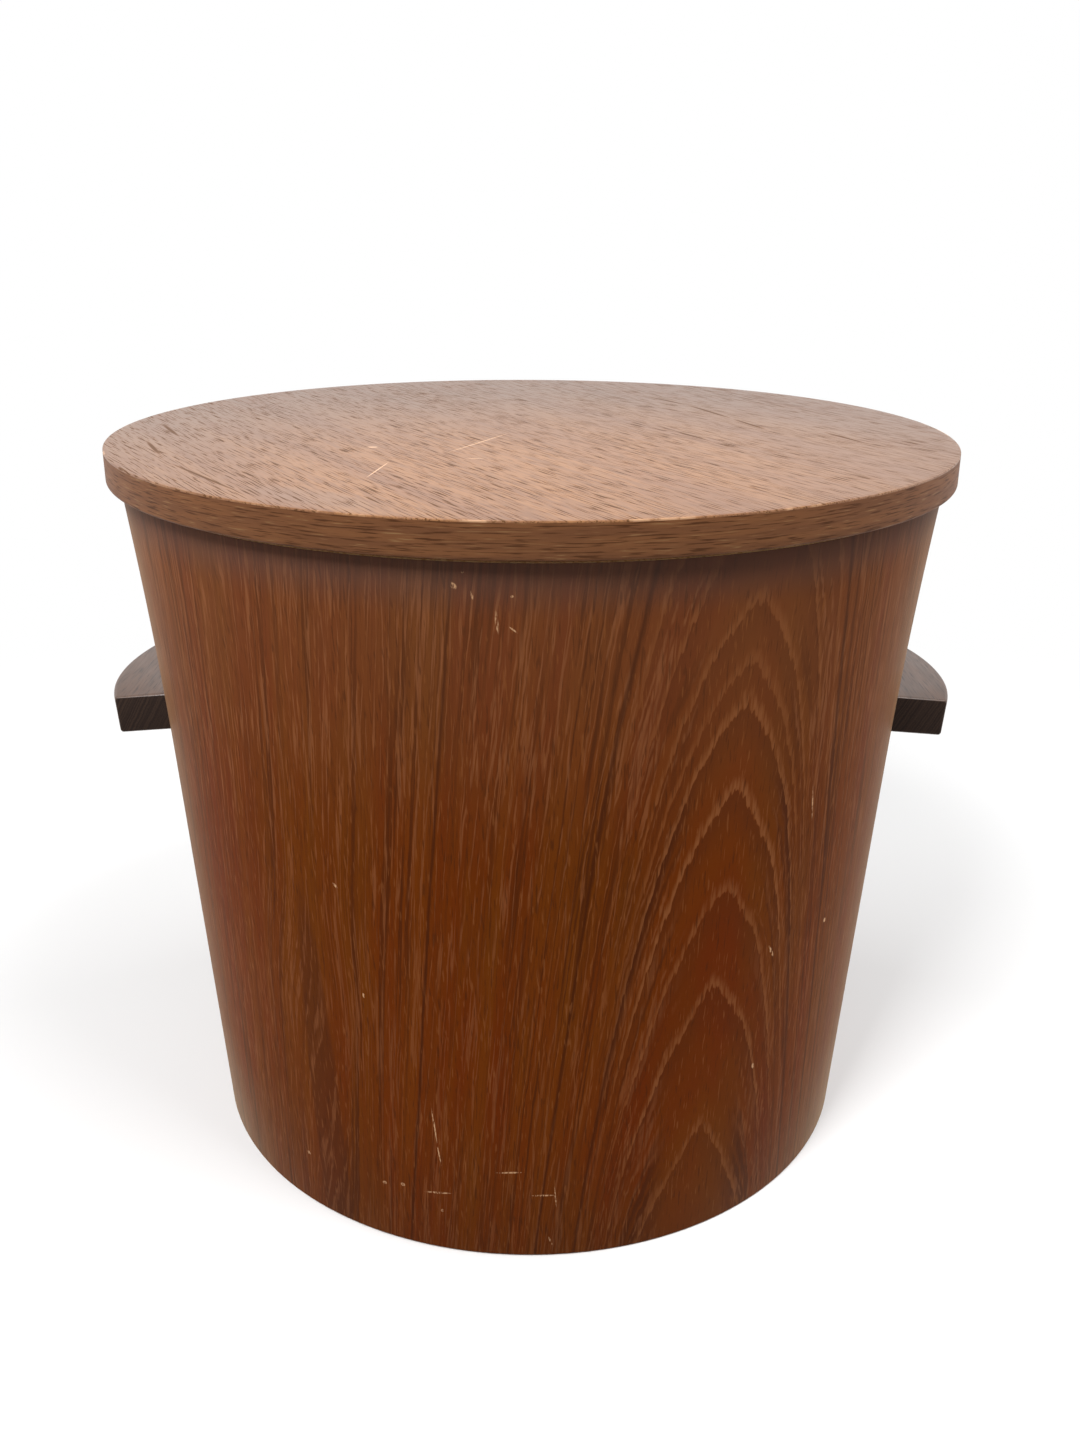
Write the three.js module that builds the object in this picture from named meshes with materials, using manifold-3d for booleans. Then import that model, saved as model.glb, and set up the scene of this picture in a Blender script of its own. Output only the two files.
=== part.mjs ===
// A lidded hearth bucket for coal: a flared shell of bent plywood faced in teak, two dark hardwood
// handles screwed on from inside, a loose board lid, and a sheet-steel liner that lifts out by two
// drop loops. Millimetres, +Z up. The origin is the middle of the foot, the handles lie along X and
// the front faces -Y.
import * as THREE from "three";
import { mergeVertices } from "three/addons/utils/BufferGeometryUtils.js";
import Module from "manifold-3d";

// Overall
const HEIGHT = 360; // floor to the top of the lid
const GAP = 0.3; // left between pieces that touch
const ARRIS = 1; // small bevel on wooden edges

// Shell and base: a straight taper that curves outwards in its upper part
const FOOT_RADIUS = 172; // outside, at the floor
const TAPER = 0.067; // outward lean of the straight part, per unit of height
const FLARE_START = 205; // height where the curve begins
const FLARE_RADIUS = 2500;
const FLARE_STEPS = 5; // straight steps that the curve is drawn in
const WALL = 7; // measured level
const BASE_THICKNESS = 10;
const BASE_RECESS = 8; // floor to the underside of the base

// Lid
const LID_RADIUS = 205;
const LID_THICKNESS = 15;
const LIPPING = 6; // width of the solid edge band
const VENEER = 0.8; // top sheet, over board and band alike
const LOCATING_THICKNESS = 9;
const LOCATING_PLAY = 2; // between the locating disc and the liner
const LID_SCREWS = 4;
const LID_SCREW_CIRCLE = 130; // radius

// Handles, set square to the leaning wall
const HANDLE_HEIGHT = 227; // of its middle
const HANDLE_LENGTH = 94;
const HANDLE_THICKNESS = 19;
const HANDLE_REACH = 28; // out from the wall, at the middle
const HANDLE_BOW = 8.6; // how far the curved edge falls back at the ends
const HANDLE_ARRIS = 1.6;
const HANDLE_SCREW_ANGLE = THREE.MathUtils.degToRad(9); // each side of the handle's middle
const HANDLE_SCREW_BITE = 17; // length in the handle

// Liner: a plain cone of sheet steel, parallel to the lower wall of the shell
const SHEET = 1;
const LINER_CLEARANCE = 7; // to the shell's inside, for the screw heads
const HEM = 9; // wall turned in under the liner's bottom
const FLANGE_SETBACK = 1.5; // flange edge to the shell's outer face
const RIM_RADIUS = 3; // bend between the wall and the flange
const PAN_LIP = 10; // upstand of the liner's bottom
const BEAD_RADIUS = 118; // stiffening bead pressed in the bottom
const BEAD_WIDTH = 16;
const BEAD_HEIGHT = 3;
const SEAM_WIDTH = 12; // lapped side seam
const SEAM_AZIMUTH = THREE.MathUtils.degToRad(135);

// Drop loops of the liner, each hung on a riveted saddle strap
const LOOP_HEIGHT = 288; // of the bar that it turns on
const WIRE = 5; // diameter
const LOOP_WIDTH = 60; // between the centres of the sides
const LOOP_DROP = 34; // bar to the lowest side, centre to centre
const LOOP_CORNER = 12;
const LOOP_STANDOFF = 6.2; // wall to the middle of the bar
const WIRE_BUTT = 1; // the wire's ends face each other inside the saddle
const STRAP = 1.2; // thickness
const STRAP_WIDTH = 24;
const STRAP_FOOT = 15; // bar to each end of the strap
const RIVET_OFFSET = 10; // bar to each rivet

// Fasteners
const HANDLE_SCREW = { shank: 2.2, head: 4.6, rise: 2.8, point: 3.3 };
const WASHER = { radius: 6, thickness: 1.2 };
const LID_SCREW = { shank: 1.8, head: 4, sink: 2.4, length: 18 };
const SLOT = { width: 1.2, depth: 1 };
const RIVET = { shank: 1.6, head: 3.4, rise: 1.2, tail: 0.9 };

// Fineness of round forms
const LARGE_SEGMENTS = 72;
const LINER_SEGMENTS = 60;
const SMALL_SEGMENTS = 12;
const ARC_STEPS = 3;
const BOW_STEPS = 10;
const STRAP_STEPS = 5;
const WIRE_STEPS = 44;
const WIRE_SIDES = 8;

// Levels that follow from the sizes above
const LID_UNDERSIDE = HEIGHT - LID_THICKNESS;
const FLANGE_UNDERSIDE = LID_UNDERSIDE - GAP - SHEET;
const SHELL_HEIGHT = FLANGE_UNDERSIDE - GAP;
const BASE_TOP = BASE_RECESS + BASE_THICKNESS;
const LINER_FOOT = BASE_TOP + GAP;

const wasm = await Module();
wasm.setup();

const material = {
  teak: new THREE.MeshStandardMaterial({ color: 0x7a4527, roughness: 0.45, metalness: 0 }),
  lidTeak: new THREE.MeshStandardMaterial({ color: 0x9a6a4a, roughness: 0.55, metalness: 0 }),
  lipping: new THREE.MeshStandardMaterial({ color: 0x744a2e, roughness: 0.55, metalness: 0 }),
  handle: new THREE.MeshStandardMaterial({ color: 0x33261f, roughness: 0.5, metalness: 0 }),
  board: new THREE.MeshStandardMaterial({ color: 0xb08a5c, roughness: 0.75, metalness: 0 }),
  galvanised: new THREE.MeshStandardMaterial({ color: 0x9aa0a3, roughness: 0.4, metalness: 1 }),
  wire: new THREE.MeshStandardMaterial({ color: 0x85898b, roughness: 0.35, metalness: 1 }),
  screw: new THREE.MeshStandardMaterial({ color: 0xa9a18c, roughness: 0.35, metalness: 1 }),
};

// Geometry and solid helpers

// A piece turned about Z from an outline of [radius, height] points, taken anticlockwise.
function turned(outline, segments) {
  const points = outline.map(([radius, height]) => new THREE.Vector2(radius, height));
  return new THREE.LatheGeometry(points, segments).rotateX(Math.PI / 2);
}

// The same about X, for pieces that stand out from a wall: heights become distances along +X.
function turnedAlongX(outline, segments) {
  return turned(outline, segments).rotateY(Math.PI / 2);
}

function closed(outline) {
  return [...outline, outline[0]];
}

// Points of an arc in an outline, its ends included.
function arc(centreRadius, centreHeight, radius, from, to) {
  return Array.from({ length: ARC_STEPS + 1 }, (_, step) => {
    const angle = from + ((to - from) * step) / ARC_STEPS;
    return [centreRadius + radius * Math.cos(angle), centreHeight + radius * Math.sin(angle)];
  });
}

// Points of a domed head, from its rim to its crown on the axis.
function dome(rim, base, rise) {
  return arc(0, 0, 1, 0, Math.PI / 2).map(([across, up]) => [rim * across, base + rise * up]);
}

// A closed geometry as a solid, moved by a matrix where one is given.
function solid(geometry, matrix = new THREE.Matrix4()) {
  const source = geometry.index ? geometry.toNonIndexed() : geometry;
  const bare = new THREE.BufferGeometry();
  bare.setAttribute("position", source.getAttribute("position").clone());
  const merged = mergeVertices(bare.applyMatrix4(matrix), 1e-3);
  const vertProperties = merged.getAttribute("position").array;
  const triVerts = new Uint32Array(merged.index.array);
  return new wasm.Manifold(new wasm.Mesh({ numProp: 3, vertProperties, triVerts }));
}

function geometryOf(manifold) {
  const { vertProperties, triVerts } = manifold.getMesh();
  const geometry = new THREE.BufferGeometry();
  geometry.setAttribute("position", new THREE.BufferAttribute(vertProperties, 3));
  geometry.setIndex(new THREE.BufferAttribute(triVerts, 1));
  geometry.computeVertexNormals();
  return geometry;
}

function piece(name, geometry, finish) {
  const mesh = new THREE.Mesh(geometry, finish);
  mesh.name = name;
  return mesh;
}

// Form of the shell's outside, and of the liner

const lowerLean = Math.atan(TAPER);

function shellLean(height) {
  if (height <= FLARE_START) return lowerLean;
  return Math.asin(Math.sin(lowerLean) + (height - FLARE_START) / FLARE_RADIUS);
}

function shellRadius(height) {
  const straight = FOOT_RADIUS + TAPER * Math.min(height, FLARE_START);
  return straight + FLARE_RADIUS * (Math.cos(lowerLean) - Math.cos(shellLean(height)));
}

function linerRadius(height) {
  return FOOT_RADIUS - WALL - LINER_CLEARANCE + TAPER * height;
}

// A frame on a leaning wall: +X leads away from it and square to it, +Z up along it.
function wallFrame(azimuth, radius, height, tilt, heading = azimuth) {
  const frame = new THREE.Group();
  frame.position.set(radius * Math.cos(azimuth), radius * Math.sin(azimuth), height);
  frame.rotation.set(0, tilt, heading, "ZYX");
  frame.updateMatrix();
  return frame;
}

// On the shell's outside, level with the handles
function handleFrame(azimuth) {
  return wallFrame(azimuth, shellRadius(HANDLE_HEIGHT), HANDLE_HEIGHT, shellLean(HANDLE_HEIGHT));
}

// On the liner's inside, level with the loops' bars, where +X leads in towards the coal
function saddleFrame(azimuth) {
  return wallFrame(azimuth, linerRadius(LOOP_HEIGHT) - SHEET, LOOP_HEIGHT, -lowerLean, azimuth + Math.PI);
}

// Heights at which the curved part of the shell's outline has a point
const flareHeights = Array.from(
  { length: FLARE_STEPS },
  (_, step) => FLARE_START + ((SHELL_HEIGHT - FLARE_START) * (step + 1)) / FLARE_STEPS,
);

// A round cutter along +X, for screw and rivet holes
function drill(radius, start, end) {
  const outline = [[0, start], [radius, start], [radius, end], [0, end]];
  return turnedAlongX(outline, SMALL_SEGMENTS);
}

// Places of the handles, of their screws either side of the middle, and of the liner's loops
const handles = [
  { side: "right", azimuth: 0, screws: { front: -HANDLE_SCREW_ANGLE, back: HANDLE_SCREW_ANGLE } },
  { side: "left", azimuth: Math.PI, screws: { front: HANDLE_SCREW_ANGLE, back: -HANDLE_SCREW_ANGLE } },
];
const loops = [
  { side: "front", azimuth: -Math.PI / 2 },
  { side: "back", azimuth: Math.PI / 2 },
];
const rivetOffsets = { lower: -RIVET_OFFSET, upper: RIVET_OFFSET };

// Shell: the bent wall, drilled for the handle screws
function shellGeometry() {
  const heights = [ARRIS, FLARE_START, ...flareHeights.slice(0, -1)];
  const outside = heights.map((height) => [shellRadius(height), height]);
  const inside = [...flareHeights].reverse().concat(FLARE_START, 0);
  const topRadius = shellRadius(SHELL_HEIGHT);
  const outline = closed([
    [FOOT_RADIUS - ARRIS, 0],
    ...outside,
    [topRadius, SHELL_HEIGHT - ARRIS],
    [topRadius - ARRIS, SHELL_HEIGHT],
    ...inside.map((height) => [shellRadius(height) - WALL, height]),
  ]);
  let wall = solid(turned(outline, LARGE_SEGMENTS));
  const hole = drill(HANDLE_SCREW.shank + GAP, -2 * WALL, WALL);
  for (const { azimuth, screws } of handles) {
    for (const angle of Object.values(screws)) {
      wall = wall.subtract(solid(hole, handleFrame(azimuth + angle).matrix));
    }
  }
  return geometryOf(wall);
}

// Base: a plywood disc whose sloped edge wedges in the tapered shell
function baseGeometry() {
  const edge = (height) => shellRadius(height) - WALL - GAP;
  const outline = [
    [0, BASE_RECESS],
    [edge(BASE_RECESS), BASE_RECESS],
    [edge(BASE_TOP), BASE_TOP],
    [0, BASE_TOP],
  ];
  return turned(outline, LARGE_SEGMENTS);
}

// Handle: a flat block with a bowed outer edge and its inner edge scribed to the shell
function handleGeometry() {
  const halfLength = HANDLE_LENGTH / 2;
  const bowRadius = (halfLength ** 2 + HANDLE_BOW ** 2) / (2 * HANDLE_BOW);
  const bowAngle = Math.asin(halfLength / bowRadius);
  const inside = -2 * WALL; // past the wall, so that the scribed cut runs right through
  const plan = new THREE.Shape();
  plan.moveTo(inside, -halfLength);
  plan.lineTo(HANDLE_REACH - HANDLE_BOW, -halfLength);
  plan.absarc(HANDLE_REACH - bowRadius, 0, bowRadius, -bowAngle, bowAngle, false);
  plan.lineTo(inside, halfLength);
  plan.closePath();
  const block = new THREE.ExtrudeGeometry(plan, {
    depth: HANDLE_THICKNESS - 2 * HANDLE_ARRIS,
    curveSegments: BOW_STEPS,
    bevelThickness: HANDLE_ARRIS,
    bevelSize: HANDLE_ARRIS,
    bevelOffset: -HANDLE_ARRIS,
    bevelSegments: 2,
  }).translate(0, 0, HANDLE_ARRIS - HANDLE_THICKNESS / 2);

  const toHandle = handleFrame(0).matrix.clone().invert();
  const scribeHeights = [HANDLE_HEIGHT - HANDLE_LENGTH, FLARE_START, ...flareHeights];
  const scribe = [
    [0, scribeHeights[0]],
    ...scribeHeights.map((height) => [shellRadius(height) + GAP, height]),
    [0, scribeHeights.at(-1)],
  ];
  let handle = solid(block).subtract(solid(turned(scribe, LARGE_SEGMENTS), toHandle));
  const pilot = drill(HANDLE_SCREW.shank + GAP, -WALL, HANDLE_SCREW_BITE + GAP);
  for (const angle of [-HANDLE_SCREW_ANGLE, HANDLE_SCREW_ANGLE]) {
    const toPilot = toHandle.clone().multiply(handleFrame(angle).matrix);
    handle = handle.subtract(solid(pilot, toPilot));
  }
  return geometryOf(handle);
}

// Round-headed slotted wood screw, lying along +X with the shell's outer face at 0
const wallInside = -WALL * Math.cos(shellLean(HANDLE_HEIGHT));
const washerInside = wallInside - GAP - WASHER.thickness;

function slotCut(length) {
  return new THREE.BoxGeometry(2 * SLOT.depth, length, SLOT.width);
}

function handleScrewGeometry() {
  const { shank, head, rise, point } = HANDLE_SCREW;
  const seat = washerInside - GAP;
  const outline = [
    ...dome(head, seat, -rise).reverse(),
    [shank, seat],
    [shank, HANDLE_SCREW_BITE - point],
    [0, HANDLE_SCREW_BITE],
  ];
  const toSlot = new THREE.Matrix4().makeTranslation(seat - rise, 0, 0);
  const screw = solid(turnedAlongX(outline, SMALL_SEGMENTS));
  return geometryOf(screw.subtract(solid(slotCut(3 * head), toSlot)));
}

function washerGeometry() {
  const bore = HANDLE_SCREW.shank + GAP;
  const face = wallInside - GAP;
  const outline = closed([
    [bore, washerInside],
    [WASHER.radius, washerInside],
    [WASHER.radius, face],
    [bore, face],
  ]);
  return turnedAlongX(outline, SMALL_SEGMENTS);
}

// Lid: board, solid edge band, one veneer over both, and a locating disc screwed on below.
// Heights are from the underside of the board.
const boardTop = LID_THICKNESS - VENEER;
const locatingRadius = linerRadius(LID_UNDERSIDE - LOCATING_THICKNESS) - SHEET - LOCATING_PLAY;

// Side of a countersunk screw or, with play round it, of the hole that takes it
const lidScrewFace = GAP - LOCATING_THICKNESS;

function lidScrewSide(play) {
  const { shank, head, sink, length } = LID_SCREW;
  const tip = lidScrewFace + length + play;
  return [
    [head + play, lidScrewFace],
    [shank + play, lidScrewFace + sink],
    [shank + play, tip - shank],
    [0, tip],
  ];
}

const lidScrewPlaces = Array.from({ length: LID_SCREWS }, (_, index) => {
  const azimuth = ((index + 0.5) / LID_SCREWS) * 2 * Math.PI;
  return new THREE.Vector3(Math.cos(azimuth), Math.sin(azimuth), 0).multiplyScalar(LID_SCREW_CIRCLE);
});

function drilledForLidScrews(geometry) {
  const mouth = -LOCATING_THICKNESS - GAP;
  const outline = [[0, mouth], [LID_SCREW.head + GAP, mouth], ...lidScrewSide(GAP)];
  const hole = turned(outline, SMALL_SEGMENTS);
  let drilled = solid(geometry);
  for (const place of lidScrewPlaces) {
    drilled = drilled.subtract(solid(hole, new THREE.Matrix4().makeTranslation(place)));
  }
  return geometryOf(drilled);
}

function lidPanelGeometry() {
  const radius = LID_RADIUS - LIPPING - GAP;
  const outline = [[0, 0], [radius, 0], [radius, boardTop], [0, boardTop]];
  return drilledForLidScrews(turned(outline, LARGE_SEGMENTS));
}

function lidBandGeometry() {
  const inner = LID_RADIUS - LIPPING;
  const outline = closed([
    [inner, 0],
    [LID_RADIUS - ARRIS, 0],
    [LID_RADIUS, ARRIS],
    [LID_RADIUS, boardTop],
    [inner, boardTop],
  ]);
  return turned(outline, LARGE_SEGMENTS);
}

function lidVeneerGeometry() {
  const eased = VENEER / 2;
  const outline = [
    [0, boardTop],
    [LID_RADIUS, boardTop],
    [LID_RADIUS, LID_THICKNESS - eased],
    [LID_RADIUS - eased, LID_THICKNESS],
    [0, LID_THICKNESS],
  ];
  return turned(outline, LARGE_SEGMENTS);
}

function locatingDiscGeometry() {
  const lead = 2 * ARRIS; // eases the disc into the liner
  const outline = [
    [0, -LOCATING_THICKNESS],
    [locatingRadius - lead, -LOCATING_THICKNESS],
    [locatingRadius, lead - LOCATING_THICKNESS],
    [locatingRadius, 0],
    [0, 0],
  ];
  return drilledForLidScrews(turned(outline, LARGE_SEGMENTS));
}

function lidScrewGeometry() {
  const toSlot = new THREE.Matrix4().makeRotationY(Math.PI / 2).setPosition(0, 0, lidScrewFace);
  const screw = solid(turned([[0, lidScrewFace], ...lidScrewSide(0)], SMALL_SEGMENTS));
  return geometryOf(screw.subtract(solid(slotCut(3 * LID_SCREW.head), toSlot)));
}

// Liner wall: a cone with its foot turned in and its rim turned out over the shell, lapped up one side
function linerWallGeometry() {
  const footRadius = linerRadius(LINER_FOOT);
  const flangeRadius = shellRadius(SHELL_HEIGHT) - FLANGE_SETBACK;
  const bendHeight = FLANGE_UNDERSIDE + SHEET - RIM_RADIUS;
  const bendCentre = linerRadius(bendHeight) + RIM_RADIUS - SHEET;
  const bend = (radius) => arc(bendCentre, bendHeight, radius, Math.PI, Math.PI / 2);
  const outline = closed([
    [footRadius - HEM, LINER_FOOT],
    [footRadius, LINER_FOOT],
    ...bend(RIM_RADIUS - SHEET),
    [flangeRadius, FLANGE_UNDERSIDE],
    [flangeRadius, FLANGE_UNDERSIDE + SHEET],
    ...bend(RIM_RADIUS).reverse(),
    [linerRadius(LINER_FOOT + SHEET) - SHEET, LINER_FOOT + SHEET],
    [footRadius - HEM, LINER_FOOT + SHEET],
  ]);

  const seamFoot = LINER_FOOT + SHEET + PAN_LIP + 2 * GAP;
  const seamMiddle = (seamFoot + bendHeight) / 2;
  const seamLength = (bendHeight - seamFoot) / Math.cos(lowerLean);
  const seam = new THREE.BoxGeometry(2 * SHEET, SEAM_WIDTH, seamLength);
  const seamRadius = linerRadius(seamMiddle) - SHEET;
  const toSeam = wallFrame(SEAM_AZIMUTH, seamRadius, seamMiddle, lowerLean).matrix;
  let wall = solid(turned(outline, LINER_SEGMENTS)).add(solid(seam, toSeam));
  for (const { azimuth } of loops) {
    wall = riveted(wall, saddleFrame(azimuth).matrix);
  }
  return geometryOf(wall);
}

// Liner bottom: a shallow pan inside the turned-in foot, with a pressed stiffening bead
function linerBottomGeometry() {
  const under = LINER_FOOT + SHEET + GAP;
  const edge = (height) => linerRadius(height) - SHEET - GAP;
  const lip = under + PAN_LIP;
  const beadSide = BEAD_WIDTH / 4;
  const bead = (base) => [
    [BEAD_RADIUS - 2 * beadSide, base],
    [BEAD_RADIUS - beadSide, base + BEAD_HEIGHT],
    [BEAD_RADIUS + beadSide, base + BEAD_HEIGHT],
    [BEAD_RADIUS + 2 * beadSide, base],
  ];
  const outline = [
    [0, under],
    ...bead(under),
    [edge(under), under],
    [edge(lip), lip],
    [edge(lip) - SHEET, lip],
    [edge(under + SHEET) - SHEET, under + SHEET],
    ...bead(under + SHEET).reverse(),
    [0, under + SHEET],
  ];
  return turned(outline, LINER_SEGMENTS);
}

// Drop loops, in a frame with the liner's inside face at x = 0 and the bar along y at LOOP_STANDOFF

// A solid with the rivet holes of one saddle cut through it
function riveted(body, saddleMatrix = new THREE.Matrix4()) {
  let drilled = body;
  for (const offset of Object.values(rivetOffsets)) {
    const hole = drill(RIVET.shank + GAP, -3 * SHEET, LOOP_STANDOFF).translate(0, 0, offset);
    drilled = drilled.subtract(solid(hole, saddleMatrix));
  }
  return drilled;
}

// The inside of the liner, less a gap, seen from a saddle's frame
function linerInside() {
  const [low, high] = [LOOP_HEIGHT - 2 * STRAP_FOOT, LOOP_HEIGHT + 2 * STRAP_FOOT];
  const edge = (height) => linerRadius(height) - SHEET - GAP;
  const outline = [[0, low], [edge(low), low], [edge(high), high], [0, high]];
  return solid(turned(outline, LINER_SEGMENTS), saddleFrame(loops[0].azimuth).matrix.clone().invert());
}

function saddleGeometry() {
  const inner = WIRE / 2 + GAP;
  const outer = inner + STRAP;
  const foot = GAP + STRAP;
  const buried = -STRAP; // trimmed to the curve of the wall below
  const section = new THREE.Shape();
  section.moveTo(buried, -STRAP_FOOT);
  section.lineTo(foot, -STRAP_FOOT);
  section.lineTo(foot, -outer);
  section.absarc(LOOP_STANDOFF, 0, outer, -Math.PI / 2, Math.PI / 2, false);
  section.lineTo(foot, outer);
  section.lineTo(foot, STRAP_FOOT);
  section.lineTo(buried, STRAP_FOOT);
  section.lineTo(buried, inner);
  section.absarc(LOOP_STANDOFF, 0, inner, Math.PI / 2, -Math.PI / 2, true);
  section.lineTo(buried, -inner);
  section.closePath();
  const strap = new THREE.ExtrudeGeometry(section, {
    depth: STRAP_WIDTH,
    curveSegments: STRAP_STEPS,
    bevelEnabled: false,
  });
  strap.translate(0, 0, -STRAP_WIDTH / 2).rotateX(Math.PI / 2);
  return geometryOf(riveted(solid(strap).intersect(linerInside())));
}

// The wire's centre line: along the bar, round the drop and back, in the plane x = LOOP_STANDOFF
function loopPath() {
  const side = LOOP_WIDTH / 2;
  const at = (y, z) => new THREE.Vector3(LOOP_STANDOFF, y, z);
  const corner = (y, z, fromY, fromZ, toY, toZ) =>
    new THREE.QuadraticBezierCurve3(at(fromY, fromZ), at(y, z), at(toY, toZ));
  const path = new THREE.CurvePath();
  path.add(new THREE.LineCurve3(at(WIRE_BUTT / 2, 0), at(side - LOOP_CORNER, 0)));
  path.add(corner(side, 0, side - LOOP_CORNER, 0, side, -LOOP_CORNER));
  path.add(new THREE.LineCurve3(at(side, -LOOP_CORNER), at(side, LOOP_CORNER - LOOP_DROP)));
  path.add(corner(side, -LOOP_DROP, side, LOOP_CORNER - LOOP_DROP, side - LOOP_CORNER, -LOOP_DROP));
  path.add(new THREE.LineCurve3(at(side - LOOP_CORNER, -LOOP_DROP), at(LOOP_CORNER - side, -LOOP_DROP)));
  path.add(corner(-side, -LOOP_DROP, LOOP_CORNER - side, -LOOP_DROP, -side, LOOP_CORNER - LOOP_DROP));
  path.add(new THREE.LineCurve3(at(-side, LOOP_CORNER - LOOP_DROP), at(-side, -LOOP_CORNER)));
  path.add(corner(-side, 0, -side, -LOOP_CORNER, LOOP_CORNER - side, 0));
  path.add(new THREE.LineCurve3(at(LOOP_CORNER - side, 0), at(-WIRE_BUTT / 2, 0)));
  return path;
}

function loopGeometry() {
  const section = new THREE.Shape().absarc(0, 0, WIRE / 2, 0, 2 * Math.PI, false);
  return new THREE.ExtrudeGeometry(section, {
    steps: WIRE_STEPS,
    curveSegments: WIRE_SIDES / 2,
    extrudePath: loopPath(),
  });
}

function rivetGeometry() {
  const { shank, head, rise, tail } = RIVET;
  const seat = 2 * GAP + STRAP;
  const outside = -SHEET - GAP;
  const outline = [
    [0, outside - tail],
    [head - tail / 2, outside - tail],
    [head, outside],
    [shank, outside],
    [shank, seat],
    ...dome(head, seat, rise),
  ];
  return turnedAlongX(outline, SMALL_SEGMENTS);
}

// Assembly

const bucket = new THREE.Group();
bucket.add(piece("body_shell", shellGeometry(), material.teak));
bucket.add(piece("base_disc", baseGeometry(), material.board));

const handleShape = handleGeometry();
const handleScrewShape = handleScrewGeometry();
const washerShape = washerGeometry();
for (const { side, azimuth, screws } of handles) {
  bucket.add(handleFrame(azimuth).add(piece(`handle_${side}`, handleShape, material.handle)));
  for (const [end, angle] of Object.entries(screws)) {
    const place = handleFrame(azimuth + angle);
    place.add(piece(`handle_screw_${side}_${end}`, handleScrewShape, material.screw));
    place.add(piece(`handle_washer_${side}_${end}`, washerShape, material.screw));
    bucket.add(place);
  }
}

const liner = new THREE.Group();
liner.add(piece("liner_wall", linerWallGeometry(), material.galvanised));
liner.add(piece("liner_bottom", linerBottomGeometry(), material.galvanised));
for (const { side, azimuth } of loops) {
  const place = saddleFrame(azimuth);
  place.add(piece(`liner_saddle_${side}`, saddleGeometry(), material.galvanised));
  place.add(piece(`liner_loop_${side}`, loopGeometry(), material.wire));
  for (const [level, offset] of Object.entries(rivetOffsets)) {
    const rivet = piece(`liner_rivet_${side}_${level}`, rivetGeometry(), material.wire);
    rivet.position.z = offset;
    place.add(rivet);
  }
  liner.add(place);
}

const lid = new THREE.Group();
lid.position.z = LID_UNDERSIDE;
lid.add(piece("lid_panel", lidPanelGeometry(), material.board));
lid.add(piece("lid_edge_band", lidBandGeometry(), material.lipping));
lid.add(piece("lid_top_veneer", lidVeneerGeometry(), material.lidTeak));
lid.add(piece("lid_locating_disc", locatingDiscGeometry(), material.board));
lidScrewPlaces.forEach((place, index) => {
  const screw = piece(`lid_screw_${index + 1}`, lidScrewGeometry(), material.screw);
  screw.position.copy(place);
  lid.add(screw);
});

const coalBucket = new THREE.Group();
coalBucket.add(bucket, liner, lid);

export default coalBucket;
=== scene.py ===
# %% [markdown]
# # A lidded hearth bucket for coal
#
# The bucket is a flared shell of bent plywood faced with teak. It has two dark grips, a loose board lid
# and a sheet-steel liner that lifts out by two drop loops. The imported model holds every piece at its
# true size and place, in plain facets. This lesson models each piece again, finely enough to be looked
# at closely, and gives it the finish of the real material.

# %% Load the frame
import math

import bpy
from mathutils import Matrix, Vector


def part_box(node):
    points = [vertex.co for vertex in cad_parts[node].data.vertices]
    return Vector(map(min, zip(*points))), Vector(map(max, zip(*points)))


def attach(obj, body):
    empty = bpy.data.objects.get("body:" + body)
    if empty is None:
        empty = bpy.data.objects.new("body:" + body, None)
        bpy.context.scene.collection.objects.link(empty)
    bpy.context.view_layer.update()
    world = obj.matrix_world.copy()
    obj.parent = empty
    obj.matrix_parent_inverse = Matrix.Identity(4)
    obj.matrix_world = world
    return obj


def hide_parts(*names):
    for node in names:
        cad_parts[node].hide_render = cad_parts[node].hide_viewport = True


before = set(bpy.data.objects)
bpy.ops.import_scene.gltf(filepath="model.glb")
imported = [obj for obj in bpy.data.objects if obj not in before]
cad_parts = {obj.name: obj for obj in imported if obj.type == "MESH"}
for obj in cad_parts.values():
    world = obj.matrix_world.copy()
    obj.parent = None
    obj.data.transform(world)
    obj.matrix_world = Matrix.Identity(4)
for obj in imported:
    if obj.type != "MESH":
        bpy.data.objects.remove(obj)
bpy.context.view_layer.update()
MM = 0.001

# %% [markdown]
# ## Sizes
#
# Blender works in metres here and a maker thinks in millimetres, so sizes are written in millimetres and
# scaled where an operator needs them. A node's box gives most of them. The taper and the flare of the
# wall are curves that no box holds, so their few driving sizes are repeated.

# %% Sizes of the wall, in millimetres
FOOT_RADIUS = 172
TAPER = 0.067  # how far out the wall leans, for each millimetre up
FLARE_START = 205  # height at which it starts to curve further out
FLARE_RADIUS = 2500
WALL = 7
GAP = 0.3  # play between pieces
LOWER_LEAN = math.atan(TAPER)


def wall_lean(height):
    """Outward lean of the wall at a height, in radians."""
    rise = max(0, height - FLARE_START)
    return math.asin(math.sin(LOWER_LEAN) + rise / FLARE_RADIUS)


def wall_radius(height):
    """Outside radius of the shell at a height."""
    straight = FOOT_RADIUS + TAPER * min(height, FLARE_START)
    return straight + FLARE_RADIUS * (math.cos(LOWER_LEAN) - math.cos(wall_lean(height)))


def node_box(node):
    """Lowest and highest corner of a node of the frame."""
    return [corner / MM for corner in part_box(node)]


SHELL_TOP = node_box("body_shell")[1].z
LID_RADIUS = node_box("lid_top_veneer")[1].x
print(f"shell: {SHELL_TOP:.1f} high, radius {FOOT_RADIUS} to {wall_radius(SHELL_TOP):.1f}")
print(f"lid: radius {LID_RADIUS:.0f}")

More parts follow.
